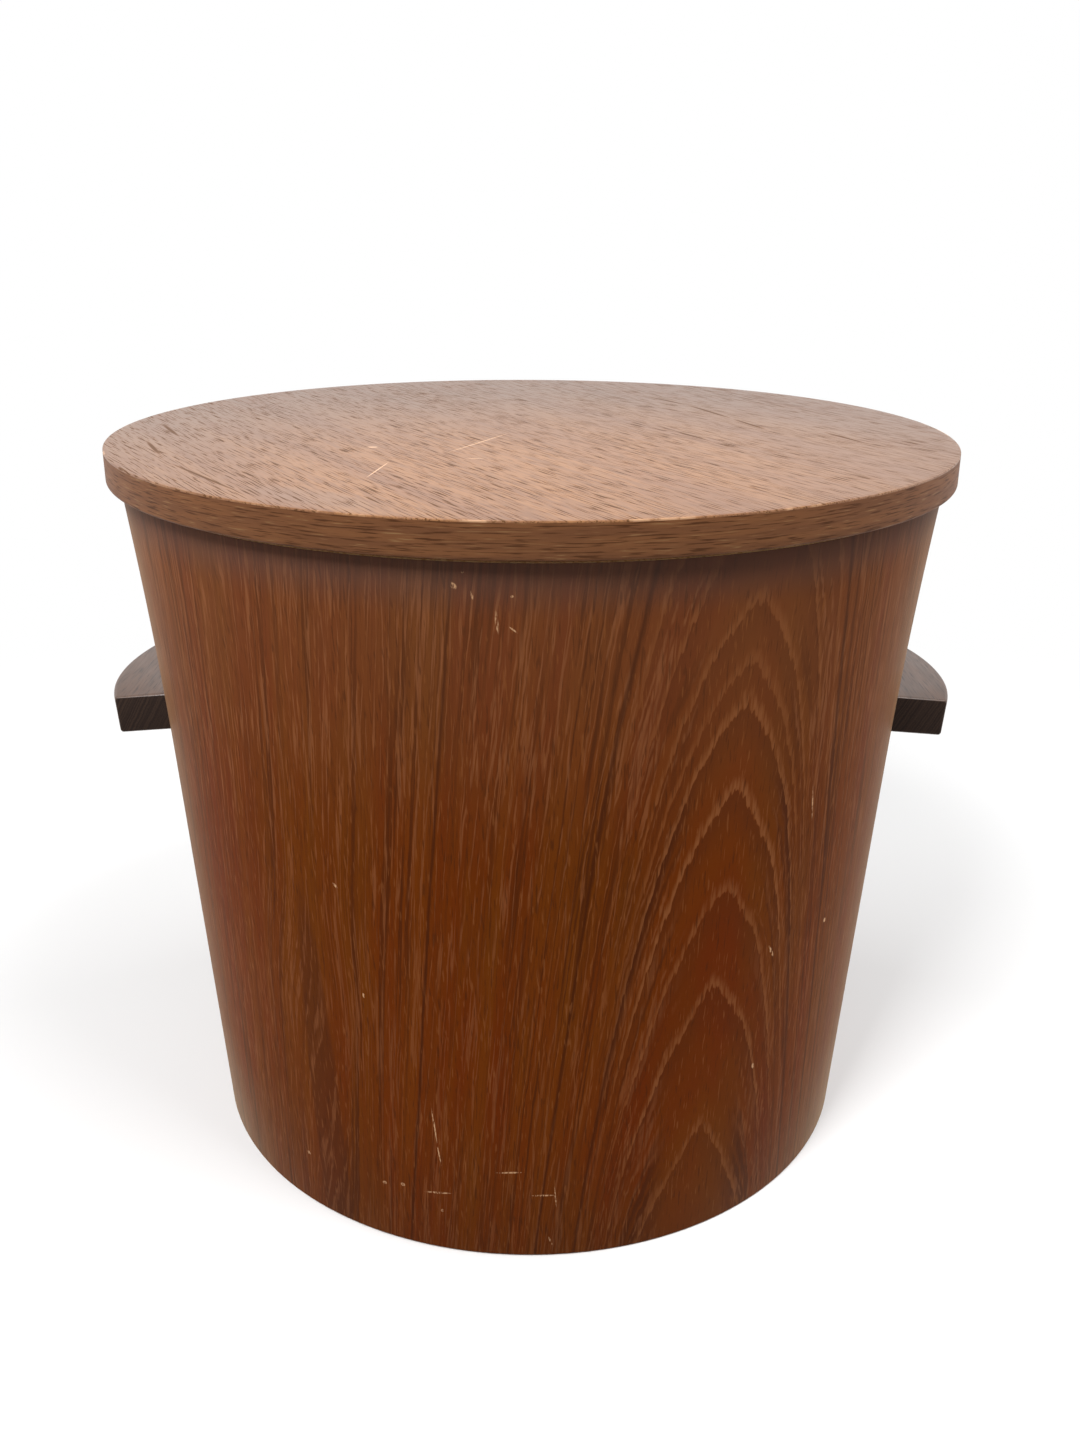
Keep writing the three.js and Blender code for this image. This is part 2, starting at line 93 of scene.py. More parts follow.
# %% [markdown]
# ## Camera
#
# The photograph was taken by hand from in front, a little above the lid. The lens and the place were
# worked out from the ellipses of lid and foot. Building the camera first lets every later render be laid
# over the photograph. A lens given in pixels becomes millimetres on a sensor as tall as the image.

# %% Set the camera
IMAGE_HEIGHT = 1440
FOCAL_PIXELS = 1363.2
SENSOR = 36
CAMERA_DISTANCE = 685
CAMERA_HEIGHT = 467
CAMERA_PITCH = 0.3642  # radians, as yaw and roll
CAMERA_YAW = 0.0066
CAMERA_ROLL = 0.0061

bpy.ops.object.select_all(action="DESELECT")
bpy.ops.object.camera_add()
camera = bpy.context.object
camera.matrix_world = (
    Matrix.Translation((0, -CAMERA_DISTANCE * MM, CAMERA_HEIGHT * MM))
    @ Matrix.Rotation(-CAMERA_YAW, 4, "Z")
    @ Matrix.Rotation(math.pi / 2 - CAMERA_PITCH, 4, "X")
    @ Matrix.Rotation(CAMERA_ROLL, 4, "Z")
)
camera.data.sensor_fit = "VERTICAL"
camera.data.sensor_height = SENSOR
camera.data.lens = FOCAL_PIXELS * SENSOR / IMAGE_HEIGHT
bpy.context.scene.camera = camera
bpy.context.scene.view_settings.view_transform = "Standard"
print(f"camera: {camera.data.lens:.1f} mm lens")

# %% [markdown]
# ## Building shader nodes
#
# A finish is a small network of nodes. One function adds any node, sets it and links it, so a material
# reads from top to bottom as a recipe. Colours are written as sRGB hex values, as a paint chart gives
# them, and turned to the linear values that light is reckoned in.

# %% Helpers for nodes


def colour(code):
    """An sRGB hex value as the linear colour that a shader takes."""
    parts = [int(code[start : start + 2], 16) / 255 for start in (0, 2, 4)]
    return [part / 12.92 if part <= 0.04045 else ((part + 0.055) / 1.055) ** 2.4 for part in parts] + [1]


def feed(tree, node, inputs):
    """Fill a node's sockets, by name or in order, with values or links from nodes or sockets."""
    named = inputs.items() if isinstance(inputs, dict) else enumerate(inputs)
    for socket, value in named:
        if isinstance(value, bpy.types.Node):
            value = next(output for output in value.outputs if output.enabled)
        if isinstance(value, bpy.types.NodeSocket):
            tree.links.new(value, node.inputs[socket])
        else:
            node.inputs[socket].default_value = value


def add(tree, kind, inputs=(), **settings):
    """Add a shader node of any kind, with its settings and inputs."""
    node = tree.nodes.new("ShaderNode" + kind)
    for name, value in settings.items():
        setattr(node, name, value)
    feed(tree, node, inputs)
    return node


print("node helpers ready")

# %% [markdown]
# Most finishes are layers of colour. Each is laid on by a share: a product of soft steps and strengths
# that says where it covers, and how much.

# %% Helpers for materials
FACTOR, UNDER, OVER = 0, 6, 7  # sockets of a Mix node that mixes colours


def share(tree, *parts):
    """A product of numbers, nodes, and values given with the two limits of a soft step from 0 to 1."""
    product = None
    for part in parts:
        if isinstance(part, tuple):
            value, low, high = part
            limits = {"Value": value, "From Min": low, "From Max": high}
            part = add(tree, "MapRange", limits, interpolation_type="SMOOTHSTEP")
        product = part if product is None else add(tree, "Math", [product, part], operation="MULTIPLY")
    return product


def layer(tree, under, over, *parts):
    """A colour laid over another by a share. Colours are hex values or nodes."""
    under, over = [colour(tone) if isinstance(tone, str) else tone for tone in (under, over)]
    return add(tree, "Mix", {FACTOR: share(tree, *parts), UNDER: under, OVER: over}, data_type="RGBA")


def new_material(name, **values):
    """A material with its tree and its shader, whose plain values are set by socket name."""
    material = bpy.data.materials.new(name)
    material.use_nodes = True
    tree = material.node_tree
    shader = tree.nodes["Principled BSDF"]
    feed(tree, shader, {socket.replace("_", " "): value for socket, value in values.items()})
    return material, tree, shader


print("material helpers ready")

# %% [markdown]
# ## Stage and light
#
# The lid's shadow on the wall tells where the light was. Left of the front it is short, about as deep as
# the lid stands out, so the main lamp is there, half way up. To the right it is deeper, which puts a
# second lamp high on that side. Broad weak lamps at both sides and a faint world fill the rest. The side
# lamps stay out of reflections, or they would glare on the lid in low views. Seen by the camera or in a
# reflection, the world is plain white.

# %% Light the stage
WHITE = (1, 1, 1, 1)
WORLD_LEVEL = 0.2
AIM = Vector((0, 0, 0.25))  # metres
LAMPS = [  # degrees right of the front, degrees up, metres away, size, light on a facing surface
    {"turn": -28, "up": 48, "away": 2.0, "size": 0.6, "level": 0.85},
    {"turn": 50, "up": 60, "away": 2.0, "size": 0.8, "level": 0.5},
    {"turn": 100, "up": 26, "away": 1.6, "size": 1.2, "level": 0.69},
    {"turn": -100, "up": 26, "away": 1.6, "size": 1.2, "level": 0.66},
]
REFLECTED_WITHIN = 90  # degrees from the front


def seen_rays(tree):
    """1 for rays that show the background: from the camera, a reflection or through glass."""
    path = add(tree, "LightPath")
    rays = [path.outputs[f"Is {kind} Ray"] for kind in ("Camera", "Glossy", "Transmission")]
    some = add(tree, "Math", [rays[0], rays[1]], operation="MAXIMUM")
    return add(tree, "Math", [some, rays[2]], operation="MAXIMUM")


world = bpy.data.worlds.new("white_studio")
bpy.context.scene.world = world
world.use_nodes = True
tree = world.node_tree
seen = add(tree, "Background", {"Color": WHITE, "Strength": 1})
lighting = tree.nodes["Background"]
feed(tree, lighting, {"Color": WHITE, "Strength": WORLD_LEVEL})
either = add(tree, "MixShader", [seen_rays(tree), lighting, seen])
feed(tree, tree.nodes["World Output"], {"Surface": either})

for lamp in LAMPS:
    turned, raised = math.radians(lamp["turn"]), math.radians(lamp["up"])
    level = math.cos(raised)
    towards = Vector((math.sin(turned) * level, -math.cos(turned) * level, math.sin(raised)))
    bpy.ops.object.light_add(type="AREA", location=AIM + towards * lamp["away"])
    softbox = bpy.context.object
    softbox.rotation_euler = towards.to_track_quat("Z", "Y").to_euler()
    softbox.data.size = lamp["size"]
    softbox.data.energy = lamp["level"] * (math.pi * lamp["away"]) ** 2
    softbox.visible_glossy = abs(lamp["turn"]) < REFLECTED_WITHIN
print("light:", len(LAMPS), "lamps and a white world")

# %% [markdown]
# The bucket stands on matt white paper, which keeps its shadow and fades to plain white further off. The
# paper throws less light back than it shows, as a floor in a larger room would. From below it is clear,
# so the base can be looked at.

# %% Lay the floor
FLOOR_SIZE = 14  # metres
FLOOR_FADE = (0.35, 1.0)  # metres from the middle of the bucket
FLOOR_DROP = 0.2  # millimetres below the foot

bpy.ops.object.select_all(action="DESELECT")
bpy.ops.mesh.primitive_plane_add(size=FLOOR_SIZE, location=(0, 0, -FLOOR_DROP * MM))
floor = bpy.context.object
floor.name = "floor"
paper, tree, matt = new_material("white_paper_sweep", Roughness=0.9, Specular_IOR_Level=0)
shown = seen_rays(tree)
feed(tree, matt, {"Base Color": layer(tree, "b4b4b4", "e8e8e8", shown)})
place = add(tree, "TexCoord").outputs["Object"]
distance = add(tree, "VectorMath", [place], operation="LENGTH")
glow = add(tree, "Emission", {"Color": WHITE, "Strength": 1})
sweep = add(tree, "MixShader", [share(tree, (distance, *FLOOR_FADE), shown), matt, glow])
below = add(tree, "NewGeometry").outputs["Backfacing"]
clear = add(tree, "BsdfTransparent")
one_sided = add(tree, "MixShader", [below, sweep, clear])
feed(tree, tree.nodes["Material Output"], {"Surface": one_sided})
floor.data.materials.append(paper)
print("floor:", FLOOR_SIZE, "m of white paper")

# %% [markdown]
# ## Modelling by hand, in code
#
# Most of the bucket is round, so most pieces are turned: an outline is drawn as a chain of edges and
# spun about the upright axis. Operators act on whatever is selected, so each helper first selects only
# its own piece.

# %% Helpers that draw and turn
WELD = 0.005 * MM
FULL_TURN = 2 * math.pi


def pick(piece):
    """Make one piece the selected and active one."""
    bpy.ops.object.select_all(action="DESELECT")
    piece.select_set(True)
    bpy.context.view_layer.objects.active = piece


def begin(name, primitive, **settings):
    """A piece that starts as one of Blender's primitives. Its place and size end up in its mesh."""
    bpy.ops.object.select_all(action="DESELECT")
    primitive(**settings)
    piece = bpy.context.object
    piece.name = piece.data.name = name
    bpy.ops.object.transform_apply(location=True, rotation=True, scale=True)
    return piece


def draw(name, points, closed):
    """A chain of edges through (across, up) points: one vertex, extruded from point to point."""
    piece = begin(name, bpy.ops.mesh.primitive_plane_add, size=MM)
    bpy.ops.object.mode_set(mode="EDIT")
    bpy.ops.mesh.select_mode(type="VERT")
    bpy.ops.mesh.merge(type="CENTER")
    bpy.ops.transform.translate(value=(points[0][0] * MM, 0, points[0][1] * MM))
    ends = points[1:] + points[:1] if closed else points[1:]
    for (across, up), (next_across, next_up) in zip(points, ends):
        step = ((next_across - across) * MM, 0, (next_up - up) * MM)
        bpy.ops.mesh.extrude_vertices_move(TRANSFORM_OT_translate={"value": step})
    bpy.ops.mesh.select_all(action="SELECT")
    bpy.ops.mesh.remove_doubles(threshold=WELD)
    return piece


def close_up():
    """Weld what is being edited, point its faces outwards and leave edit mode."""
    bpy.ops.mesh.select_all(action="SELECT")
    bpy.ops.mesh.remove_doubles(threshold=WELD)
    bpy.ops.mesh.normals_make_consistent(inside=False)
    bpy.ops.object.mode_set(mode="OBJECT")


def turn(name, points, steps, closed=False):
    """A piece turned about Z. Its outline closes on itself, or else starts and ends on the axis."""
    piece = draw(name, points, closed)
    bpy.ops.mesh.select_all(action="SELECT")
    bpy.ops.mesh.spin(steps=steps, angle=FULL_TURN, center=(0, 0, 0), axis=(0, 0, 1))
    close_up()
    return piece


print("drawing helpers ready")

# %% [markdown]
# Bevels, holes and joins are modifiers, applied at once so that the next tool works on a finished mesh. A
# small piece is modelled at the origin, where its numbers are simple, and then set against a wall. Its
# place ends up in its mesh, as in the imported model. What repeats is modelled once and copied.

# %% Helpers that cut and place


def modify(piece, kind, **settings):
    """Add a modifier to a piece, set it and apply it."""
    pick(piece)
    bpy.ops.object.modifier_add(type=kind)
    modifier = piece.modifiers[-1]
    for name, value in settings.items():
        setattr(modifier, name, value)
    bpy.ops.object.modifier_apply(modifier=modifier.name)


def ease(piece, width, segments=2, angle=30):
    """Round the edges that are sharper than an angle."""
    limit = math.radians(angle)
    modify(piece, "BEVEL", width=width * MM, segments=segments, limit_method="ANGLE", angle_limit=limit)


def cut(piece, tool, operation="DIFFERENCE"):
    """Cut a piece with a tool, which is used up."""
    modify(piece, "BOOLEAN", object=tool, operation=operation, solver="EXACT")
    bpy.data.objects.remove(tool)


def put(piece, azimuth, radius, height, tilt=0.0, heading=None):
    """Set a piece that was modelled at the origin against a wall. Its place ends up in its mesh."""
    pick(piece)
    piece.location = (radius * MM * math.cos(azimuth), radius * MM * math.sin(azimuth), height * MM)
    piece.rotation_euler = (0, tilt, azimuth if heading is None else heading)
    bpy.ops.object.transform_apply(location=True, rotation=True, scale=True)


def copy_of(master, name):
    """A copy of a piece, with a mesh of its own."""
    pick(master)
    bpy.ops.object.duplicate(linked=False)
    piece = bpy.context.object
    piece.name = piece.data.name = name
    return piece


print("cutting and placing helpers ready")

# %% [markdown]
# A finished piece is dressed: shaded smooth across its soft edges, given its materials, and tied to the
# body that it moves with, while the node that it stands for is hidden. Where a piece shows two finishes,
# faces are picked out by where they are and which way they look.

# %% Helpers that dress
SOFT_EDGE = math.radians(32)


def paint(piece, index, chosen):
    """Give a material slot to the faces whose middle, in millimetres, and normal are chosen."""
    for face in piece.data.polygons:
        if chosen(face.center / MM, face.normal):
            face.material_index = index


def dress(piece, node, body, slot, *materials):
    """Shade a finished piece, give it its materials, tie it to its body and hide the node that it stands
    for.
    """
    pick(piece)
    bpy.ops.object.shade_smooth_by_angle(angle=SOFT_EDGE)
    piece.data.materials.clear()
    for material in materials:
        piece.data.materials.append(material)
    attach(piece, body)
    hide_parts(node)
    print(f"{piece.name}: {len(piece.data.polygons)} faces")


print("dressing helpers ready")

# %% [markdown]
# ## The shell
#
# The wall is veneered plywood, glued up round a former and curved outwards towards the top. Its outline
# is drawn once with the curve in short steps and spun in many. The screw holes of the grips are then
# drilled with a Boolean. Two of the outline's levels lie just above and below the holes, so the odd
# faces that drilling leaves stay hidden behind the grips.

# %% Model the shell
ROUND = 192  # steps in a full turn of the large pieces
SMALL = 32  # and of the small ones
GRIP_HEIGHT = 227
GRIP_ZONE = 8  # how far above and below the holes those levels lie
SCREW_ANGLE = math.radians(9)
SCREW_SHANK = 2.2
GRIP_LEAN = wall_lean(GRIP_HEIGHT)
GRIP_RADIUS = wall_radius(GRIP_HEIGHT)
GRIPS = {"right": 0.0, "left": math.pi}
FLARE_STEPS = 8

zone_top = GRIP_HEIGHT + GRIP_ZONE
levels = [0, FLARE_START / 3, FLARE_START * 2 / 3, FLARE_START, GRIP_HEIGHT - GRIP_ZONE, zone_top]
levels += [zone_top + (SHELL_TOP - zone_top) * step / FLARE_STEPS for step in range(1, FLARE_STEPS + 1)]
outside = [(wall_radius(level), level) for level in levels]
inside = [(wall_radius(level) - WALL, level) for level in reversed(levels)]
shell = turn("shell", outside + inside, ROUND, closed=True)
ease(shell, 0.9, segments=3)


def drill_bit(shank, start, end):
    """A cutter along the local Z axis, wide enough for a shank."""
    radius = shank + GAP
    return turn("drill", [(0, start), (radius, start), (radius, end), (0, end)], SMALL)


for azimuth in GRIPS.values():
    for side in (-SCREW_ANGLE, SCREW_ANGLE):
        hole = drill_bit(SCREW_SHANK, -2 * WALL, WALL)
        put(hole, azimuth + side, GRIP_RADIUS, GRIP_HEIGHT, math.pi / 2 + GRIP_LEAN)
        cut(shell, hole)
print("shell:", len(shell.data.polygons), "faces")

# %% [markdown]
# ## Teak on the wall
#
# Crown-cut teak veneer, rubbed with oil: warm red-brown, with tall pointed arches where the knife passed
# near the heart, and long lines of all widths beside them. Three tools draw it. Streaks are noise drawn
# out along the grain. A line lies where a value comes near a target. A mark is a stretched spot: a Mapping
# node moves, turns and scales its line to one unit.

# %% Helpers that draw grain


def streaks(tree, vector, width, length, along="Z", detail=2.0, seed=0.0):
    """Noise drawn out along the grain in streaks of about this width and length, from 0 to 1."""
    scale = [1 / width] * 3
    scale["XYZ".index(along)] = 1 / length
    spread = add(tree, "Mapping", {"Vector": vector, "Location": [seed] * 3, "Scale": scale})
    return add(tree, "TexNoise", {"Vector": spread, "Scale": 1, "Detail": detail})


def near(tree, value, target, reach):
    """1 where a value is at its target, falling to 0 within a reach."""
    out = add(tree, "Math", [value, target], operation="SUBTRACT")
    away = add(tree, "Math", [out], operation="ABSOLUTE")
    return share(tree, (away, reach, 0))


def mark(tree, flat, start, end, half_width, core=0.5):
    """1 on a short straight mark between two places on a flat layout, 0 elsewhere."""
    run = Vector(end) - Vector(start)
    middle = (Vector(start) + Vector(end)) / 2
    size = (run.length / 2, half_width, 1 / MM)
    turned = {"Location": (*middle, 0), "Rotation": (0, 0, math.atan2(run.y, run.x)), "Scale": size}
    unit = add(tree, "Mapping", {"Vector": flat, **turned}, vector_type="TEXTURE")
    away = add(tree, "VectorMath", [unit], operation="LENGTH")
    return share(tree, (away, 1, core))


print("grain helpers ready")

# %% [markdown]
# The leaf was flat before it was bent, so places on the wall are measured as if it were unrolled: a length
# round from the front, and a height. Noise is read on a plain cylinder instead, where it closes on itself
# at the back without a seam, and the taper of the wall doesn't stretch it.

# %% Unroll the wall
GIRTH_RADIUS = 185  # the mean radius on which the veneer is measured round the wall


def unrolled(tree, radius):
    """Places on a round wall, in millimetres: on a cylinder, as a length round from the front, and up."""
    place = add(tree, "TexCoord").outputs["Object"]
    axes = add(tree, "SeparateXYZ", [place])
    level = add(tree, "CombineXYZ", {"X": axes.outputs["X"], "Y": axes.outputs["Y"]})
    outward = add(tree, "VectorMath", [level], operation="NORMALIZE")
    up = add(tree, "Math", [axes.outputs["Z"], 1 / MM], operation="MULTIPLY")
    lift = add(tree, "CombineXYZ", {"Z": up})
    sheet = add(tree, "VectorMath", [outward, [radius] * 3, lift], operation="MULTIPLY_ADD")
    front = add(tree, "Math", [axes.outputs["Y"], -1], operation="MULTIPLY")
    angle = add(tree, "Math", [axes.outputs["X"], front], operation="ARCTAN2")
    girth = add(tree, "Math", [angle, radius], operation="MULTIPLY")
    return sheet, girth, up


def girth_at(angle):
    """Length round the wall from the front to an angle in degrees."""
    return math.radians(angle) * GIRTH_RADIUS


print("half a turn:", round(girth_at(180)), "mm round the wall")

# %% [markdown]
# In a crown-cut leaf every line is a growth ring cut open. So all of them are drawn in one field, the
# distance out from the heart, which grows up the wall too. The arches and the darkest lines are the rings
# that pass through chosen places, and the rest is noise drawn out along the field. Lower down on the left
# the lines part round a second heart. Two leaves go round the bucket and meet behind the grips.

# %% Growth rings on the wall
HEART_ANGLE = 26.8  # degrees from the front to the right
CROWN = 38  # half the width of the arches, where their sides turn upright
SHOULDER = 37  # how softly they turn
TIP = 0.145  # how steeply rings run near the heart: the lower, the blunter the arches
TIP_ROUND = 3
PLAIN = (16, 30)  # where the plain wood inside the arches ends
ARCH_FADE = (62, 34)  # where the arches are lost among the lines beside them
RING_RISE = 0.1  # how much further out a ring lies, for each millimetre up the wall
WANDER = [(30, 190, 3.0), (1.6, 14, 1.1)]  # streaks that bend the rings: width, length and sway
WEDGE_ANGLE = -33  # a second heart, whose wood widens downwards in a wedge
WEDGE_RANGE = (200, 110)  # heights between which the grain parts to go round it
WEDGE_REACH = 42
WEDGE_PUSH = 0.7


def growth(angle, height):
    """Distance out from the heart at a place on the wall."""
    across = math.hypot(girth_at(angle - HEART_ANGLE), TIP_ROUND)
    point, flank = across * TIP, across - CROWN
    blend = max(0, 1 - abs(point - flank) / SHOULDER)
    return max(point, flank) + blend**3 * SHOULDER / 6 + RING_RISE * height


def ring_field(tree, sheet, girth, up):
    """The same all over the wall, with the wander of real rings, and the way across the arches."""
    half_leaf = girth_at(90)
    leaf = add(tree, "Math", [girth, half_leaf, -half_leaf], operation="WRAP")
    off = add(tree, "Math", [leaf, girth_at(WEDGE_ANGLE)], operation="SUBTRACT")
    parts = share(tree, near(tree, off, 0, WEDGE_REACH), (up, *WEDGE_RANGE))
    push = add(tree, "Math", [parts, off], operation="MULTIPLY")
    parted = add(tree, "Math", [push, -WEDGE_PUSH, leaf], operation="MULTIPLY_ADD")
    aside = add(tree, "Math", [parted, girth_at(HEART_ANGLE)], operation="SUBTRACT")
    square = add(tree, "Math", [aside, aside, TIP_ROUND**2], operation="MULTIPLY_ADD")
    across = add(tree, "Math", [square], operation="SQRT")
    point = add(tree, "Math", [across, TIP], operation="MULTIPLY")
    flank = add(tree, "Math", [across, CROWN], operation="SUBTRACT")
    out = add(tree, "Math", [point, flank, SHOULDER], operation="SMOOTH_MAX")
    field = add(tree, "Math", [up, RING_RISE, out], operation="MULTIPLY_ADD")
    for width, length, sway in WANDER:
        moved = add(tree, "Math", [streaks(tree, sheet, width, length), 0.5], operation="SUBTRACT")
        field = add(tree, "Math", [moved, sway, field], operation="MULTIPLY_ADD")
    return field, across


print("rings:", round(growth(HEART_ANGLE, SHELL_TOP)), "mm of growth up the wall")

# %% [markdown]
# Some marks on the wall are seen so plainly that they get a place of their own: the points of the arches,
# the darkest lines, the dark wood of the second heart, and the knocks and scuffs that go down to paler
# wood, most of them near the foot and under the lid. Places are given as an angle and a height.

# %% Marks on the wall, by angle in degrees and height
ARCHES = {  # height of each point, and strength; the lid hides the highest
    470: 0.4,
    415: 0.5,
    366: 0.6,
    322: 0.6,
    295: 0.45,
    276: 0.8,
    237: 0.85,
    190: 0.6,
    142: 0.65,
    61: 0.55,
}
DARK_LINES = [(-13.2, 194), (7.8, 208), (13.2, 154)]  # a place on each: angle and height
DARK_WEDGE = ((WEDGE_ANGLE, 197), (WEDGE_ANGLE, -120), 10)  # ends and half the width, as for the scuffs
SCUFFS = [
    ((-5.4, 50), (-0.6, 51), 0.6),
    ((-16.7, 33), (-11.8, 35), 0.7),
    ((-0.1, 37), (4, 37), 0.6),
    ((3.7, 43), (4.1, 29), 0.4),
    ((-14.6, 85), (-13.9, 62), 0.5),
    ((-14.1, 65), (-13.4, 50), 0.4),
    ((-23.6, 32), (-22.8, 33), 1.3),
    ((-20.4, 35), (-19.6, 34), 1.2),
    ((-13.9, 24), (-13.3, 23), 1.2),
    ((2.9, 12), (3.6, 6), 0.6),
    ((-38.8, 32), (-38, 30), 1.2),
    ((-8.8, 335), (-8.2, 332), 1.2),
    ((-4, 325), (-3.7, 314), 0.7),
    ((-6.6, 332), (-6.4, 328), 0.5),
    ((-7.5, 339.5), (-7.4, 338.5), 0.6),
    ((-2.2, 330.5), (-2.1, 329.3), 0.7),
    ((-2.6, 318), (-1.5, 315), 0.4),
    ((-27.4, 194), (-26.5, 191), 0.7),
    ((-24.1, 140), (-23.9, 137), 0.7),
    ((40.7, 231), (41.8, 211), 0.5),
    ((49.4, 152), (49.7, 149), 1.2),
    ((36, 154), (37.4, 146), 0.9),
    ((35.9, 89), (36.2, 85), 0.9),
]


def on_wall(ends):
    """A mark's ends and half width, from angles to lengths round the wall."""
    (first, low), (last, high), half_width = ends
    return (girth_at(first), low), (girth_at(last), high), half_width


print("wall marks:", len(ARCHES), "arches and", len(SCUFFS), "scuffs")

# %% [markdown]
# The finish is built up in layers, as a painter grains a door. Broad bands along the grain come first,
# some redder and some yellower, with the dark wood of the second heart. A pale grey veil is painted over
# the top a little, a painted sheen. Half of that lies here, under the lines, and half further on, over the
# dark pores. Oil leaves almost no gloss, only a warm sheen where the wall turns away.

# %% Oiled teak veneer: the ground
SHEEN_VEIL_HEIGHTS = (200, 350)  # heights between which the painted sheen grows

sheen = {"Sheen_Weight": 0.27, "Sheen_Roughness": 0.25, "Sheen_Tint": colour("fff0c8")}
teak, tree, shader = new_material("oiled_teak_veneer", Specular_IOR_Level=0.015, **sheen)
sheet, girth, up = unrolled(tree, GIRTH_RADIUS)
layout = add(tree, "CombineXYZ", {"X": girth, "Y": up})
field, across = ring_field(tree, sheet, girth, up)
along = add(tree, "CombineXYZ", {"X": field, "Z": up})

broad = streaks(tree, along, 11, 700, seed=3)
wood = layer(tree, "602606", "652f08", (broad, 0.35, 0.65))
drift = streaks(tree, sheet, 34, 150, seed=13)
wood = layer(tree, wood, "5e340a", (drift, 0.42, 0.66), 0.35)
wood = layer(tree, wood, "45200e", mark(tree, layout, *on_wall(DARK_WEDGE), 0.8), 0.5)
# Painted sheen: a pale grey veil over the top of the wall, not a colour of the wood
painted_veil = share(tree, (up, *SHEEN_VEIL_HEIGHTS), 0.15)
wood = layer(tree, wood, "80593f", painted_veil)
print("teak ground:", len(tree.nodes), "nodes")

# %% [markdown]
# Beside the arches the grain is all lines, in groups and broken. Noise crosses its middle value in thin
# wandering lines, so a line is drawn wherever the noise comes near that value. Some lines are bold, some
# fine and some pale, and the darkest have places of their own.

# %% Oiled teak veneer: the lines
PALE_LINES = {"From Min": 150, "From Max": 330, "To Min": 0.4, "To Max": 0.75}  # heights and strengths

beside = share(tree, (across, *PLAIN))
groups = streaks(tree, along, 13, 500, seed=21)
broken = share(tree, (streaks(tree, sheet, 1.4, 45, seed=17), 0.36, 0.56), beside)
bold = near(tree, streaks(tree, along, 5, 420, detail=3, seed=1), 0.5, 0.05)
wood = layer(tree, wood, "451f0a", bold, (groups, 0.42, 0.6), beside, 0.8)
fine = near(tree, streaks(tree, along, 2.4, 200, seed=5), 0.5, 0.07)
wood = layer(tree, wood, "4a210a", fine, broken, 0.4)
pale = near(tree, streaks(tree, along, 3.2, 130, seed=8), 0.5, 0.045)
wood = layer(tree, wood, "845030", pale, broken, add(tree, "MapRange", {"Value": up, **PALE_LINES}))
for place in DARK_LINES:
    wood = layer(tree, wood, "3f1b09", near(tree, field, growth(*place), 1.2), beside, 0.8)
print("teak lines:", len(tree.nodes), "nodes so far")

# %% [markdown]
# An arch is a growth ring cut at a slant. The wood darkens towards it, and then starts again sharply pale
# and fades outwards, with an edge that is ragged because it is made of open pores.

# %% Oiled teak veneer: the arches
crown = share(tree, (across, *ARCH_FADE))
ragged = share(tree, (streaks(tree, sheet, 1.3, 16, seed=31), 0.25, 0.55))
for height, strength in ARCHES.items():
    out = add(tree, "Math", [field, growth(HEART_ANGLE, height)], operation="SUBTRACT")
    arch = share(tree, crown, strength)
    wood = layer(tree, wood, "4a220e", (out, -2.6, -0.1), (out, 0.05, -0.05), arch, 0.55)
    wood = layer(tree, wood, "814d2b", (out, -0.05, 0.1), (out, 0.9, 0.2), arch, ragged)
print("teak arches:", len(tree.nodes), "nodes so far")

# %% [markdown]
# Last come the open pores, some dark and some filled with pale polish, then a painted shade under the
# lid's edge, where its shadow falls, and the wear: scuffs broken up into crumbs. Pores are drawn wider
# than real ones, so that they show.

# %% Oiled teak veneer: pores, painted shade and wear
UNDER_LID_SHADE = (318, 342)  # heights between which the painted shade under the lid grows
PORE_DEPTH = 0.06


def surface(tree, shader, tint, rough, relief):
    """Link a colour, a roughness (value, lowest, highest) and a relief (height, strength, rise)."""
    value, smooth, coarse = rough
    height, strength, rise = relief
    roughness = add(tree, "MapRange", {"Value": value, "To Min": smooth, "To Max": coarse})
    bumps = add(tree, "Bump", {"Height": height, "Strength": strength, "Distance": rise * MM})
    feed(tree, shader, {"Base Color": tint, "Roughness": roughness, "Normal": bumps})


pores = streaks(tree, sheet, 0.9, 10, detail=1, seed=11)
dark_pore = share(tree, (pores, 0.6, 0.74))
wood = layer(tree, wood, "43200c", dark_pore, 0.6)
# The second half of the painted sheen over the top, laid over the dark pores
wood = layer(tree, wood, "80593f", painted_veil)
wood = layer(tree, wood, "804c28", (pores, 0.37, 0.27), 0.45)
# Painted shade: a grey-brown band under the lid's edge, where the lid's shadow falls
wood = layer(tree, wood, "54443f", (up, *UNDER_LID_SHADE), 0.55)
scuffs = 0
for ends in SCUFFS:
    scuffs = add(tree, "Math", [scuffs, mark(tree, layout, *on_wall(ends))], operation="MAXIMUM")
crumbs = streaks(tree, sheet, 0.7, 2.5, seed=41)
wood = layer(tree, wood, "bd926c", scuffs, (crumbs, 0.38, 0.58))
surface(tree, shader, wood, (pores, 0.38, 0.55), (dark_pore, 0.3, -PORE_DEPTH))
print("teak veneer:", len(teak.node_tree.nodes), "nodes")

# %% [markdown]
# ## Birch plywood
#
# The base, the lid's board and the locating disc are birch plywood, and so is the shell under its teak.
# A rotary-cut face is pale cream with long soft streaks and short flecks, which are drawn wider than real
# ones so that they show. A sawn edge shows the plies, light and dark in turn where the grain runs along
# the edge or into it. They lie one above the other on a disc, and one behind the other on the shell's
# rim.

# %% Birch plywood, face and edge
PLY = 1.4  # thickness of one ply


def millimetres(tree):
    """Places on a piece, in millimetres."""
    place = add(tree, "TexCoord").outputs["Object"]
    return add(tree, "VectorMath", {0: place, "Scale": 1 / MM}, operation="SCALE")


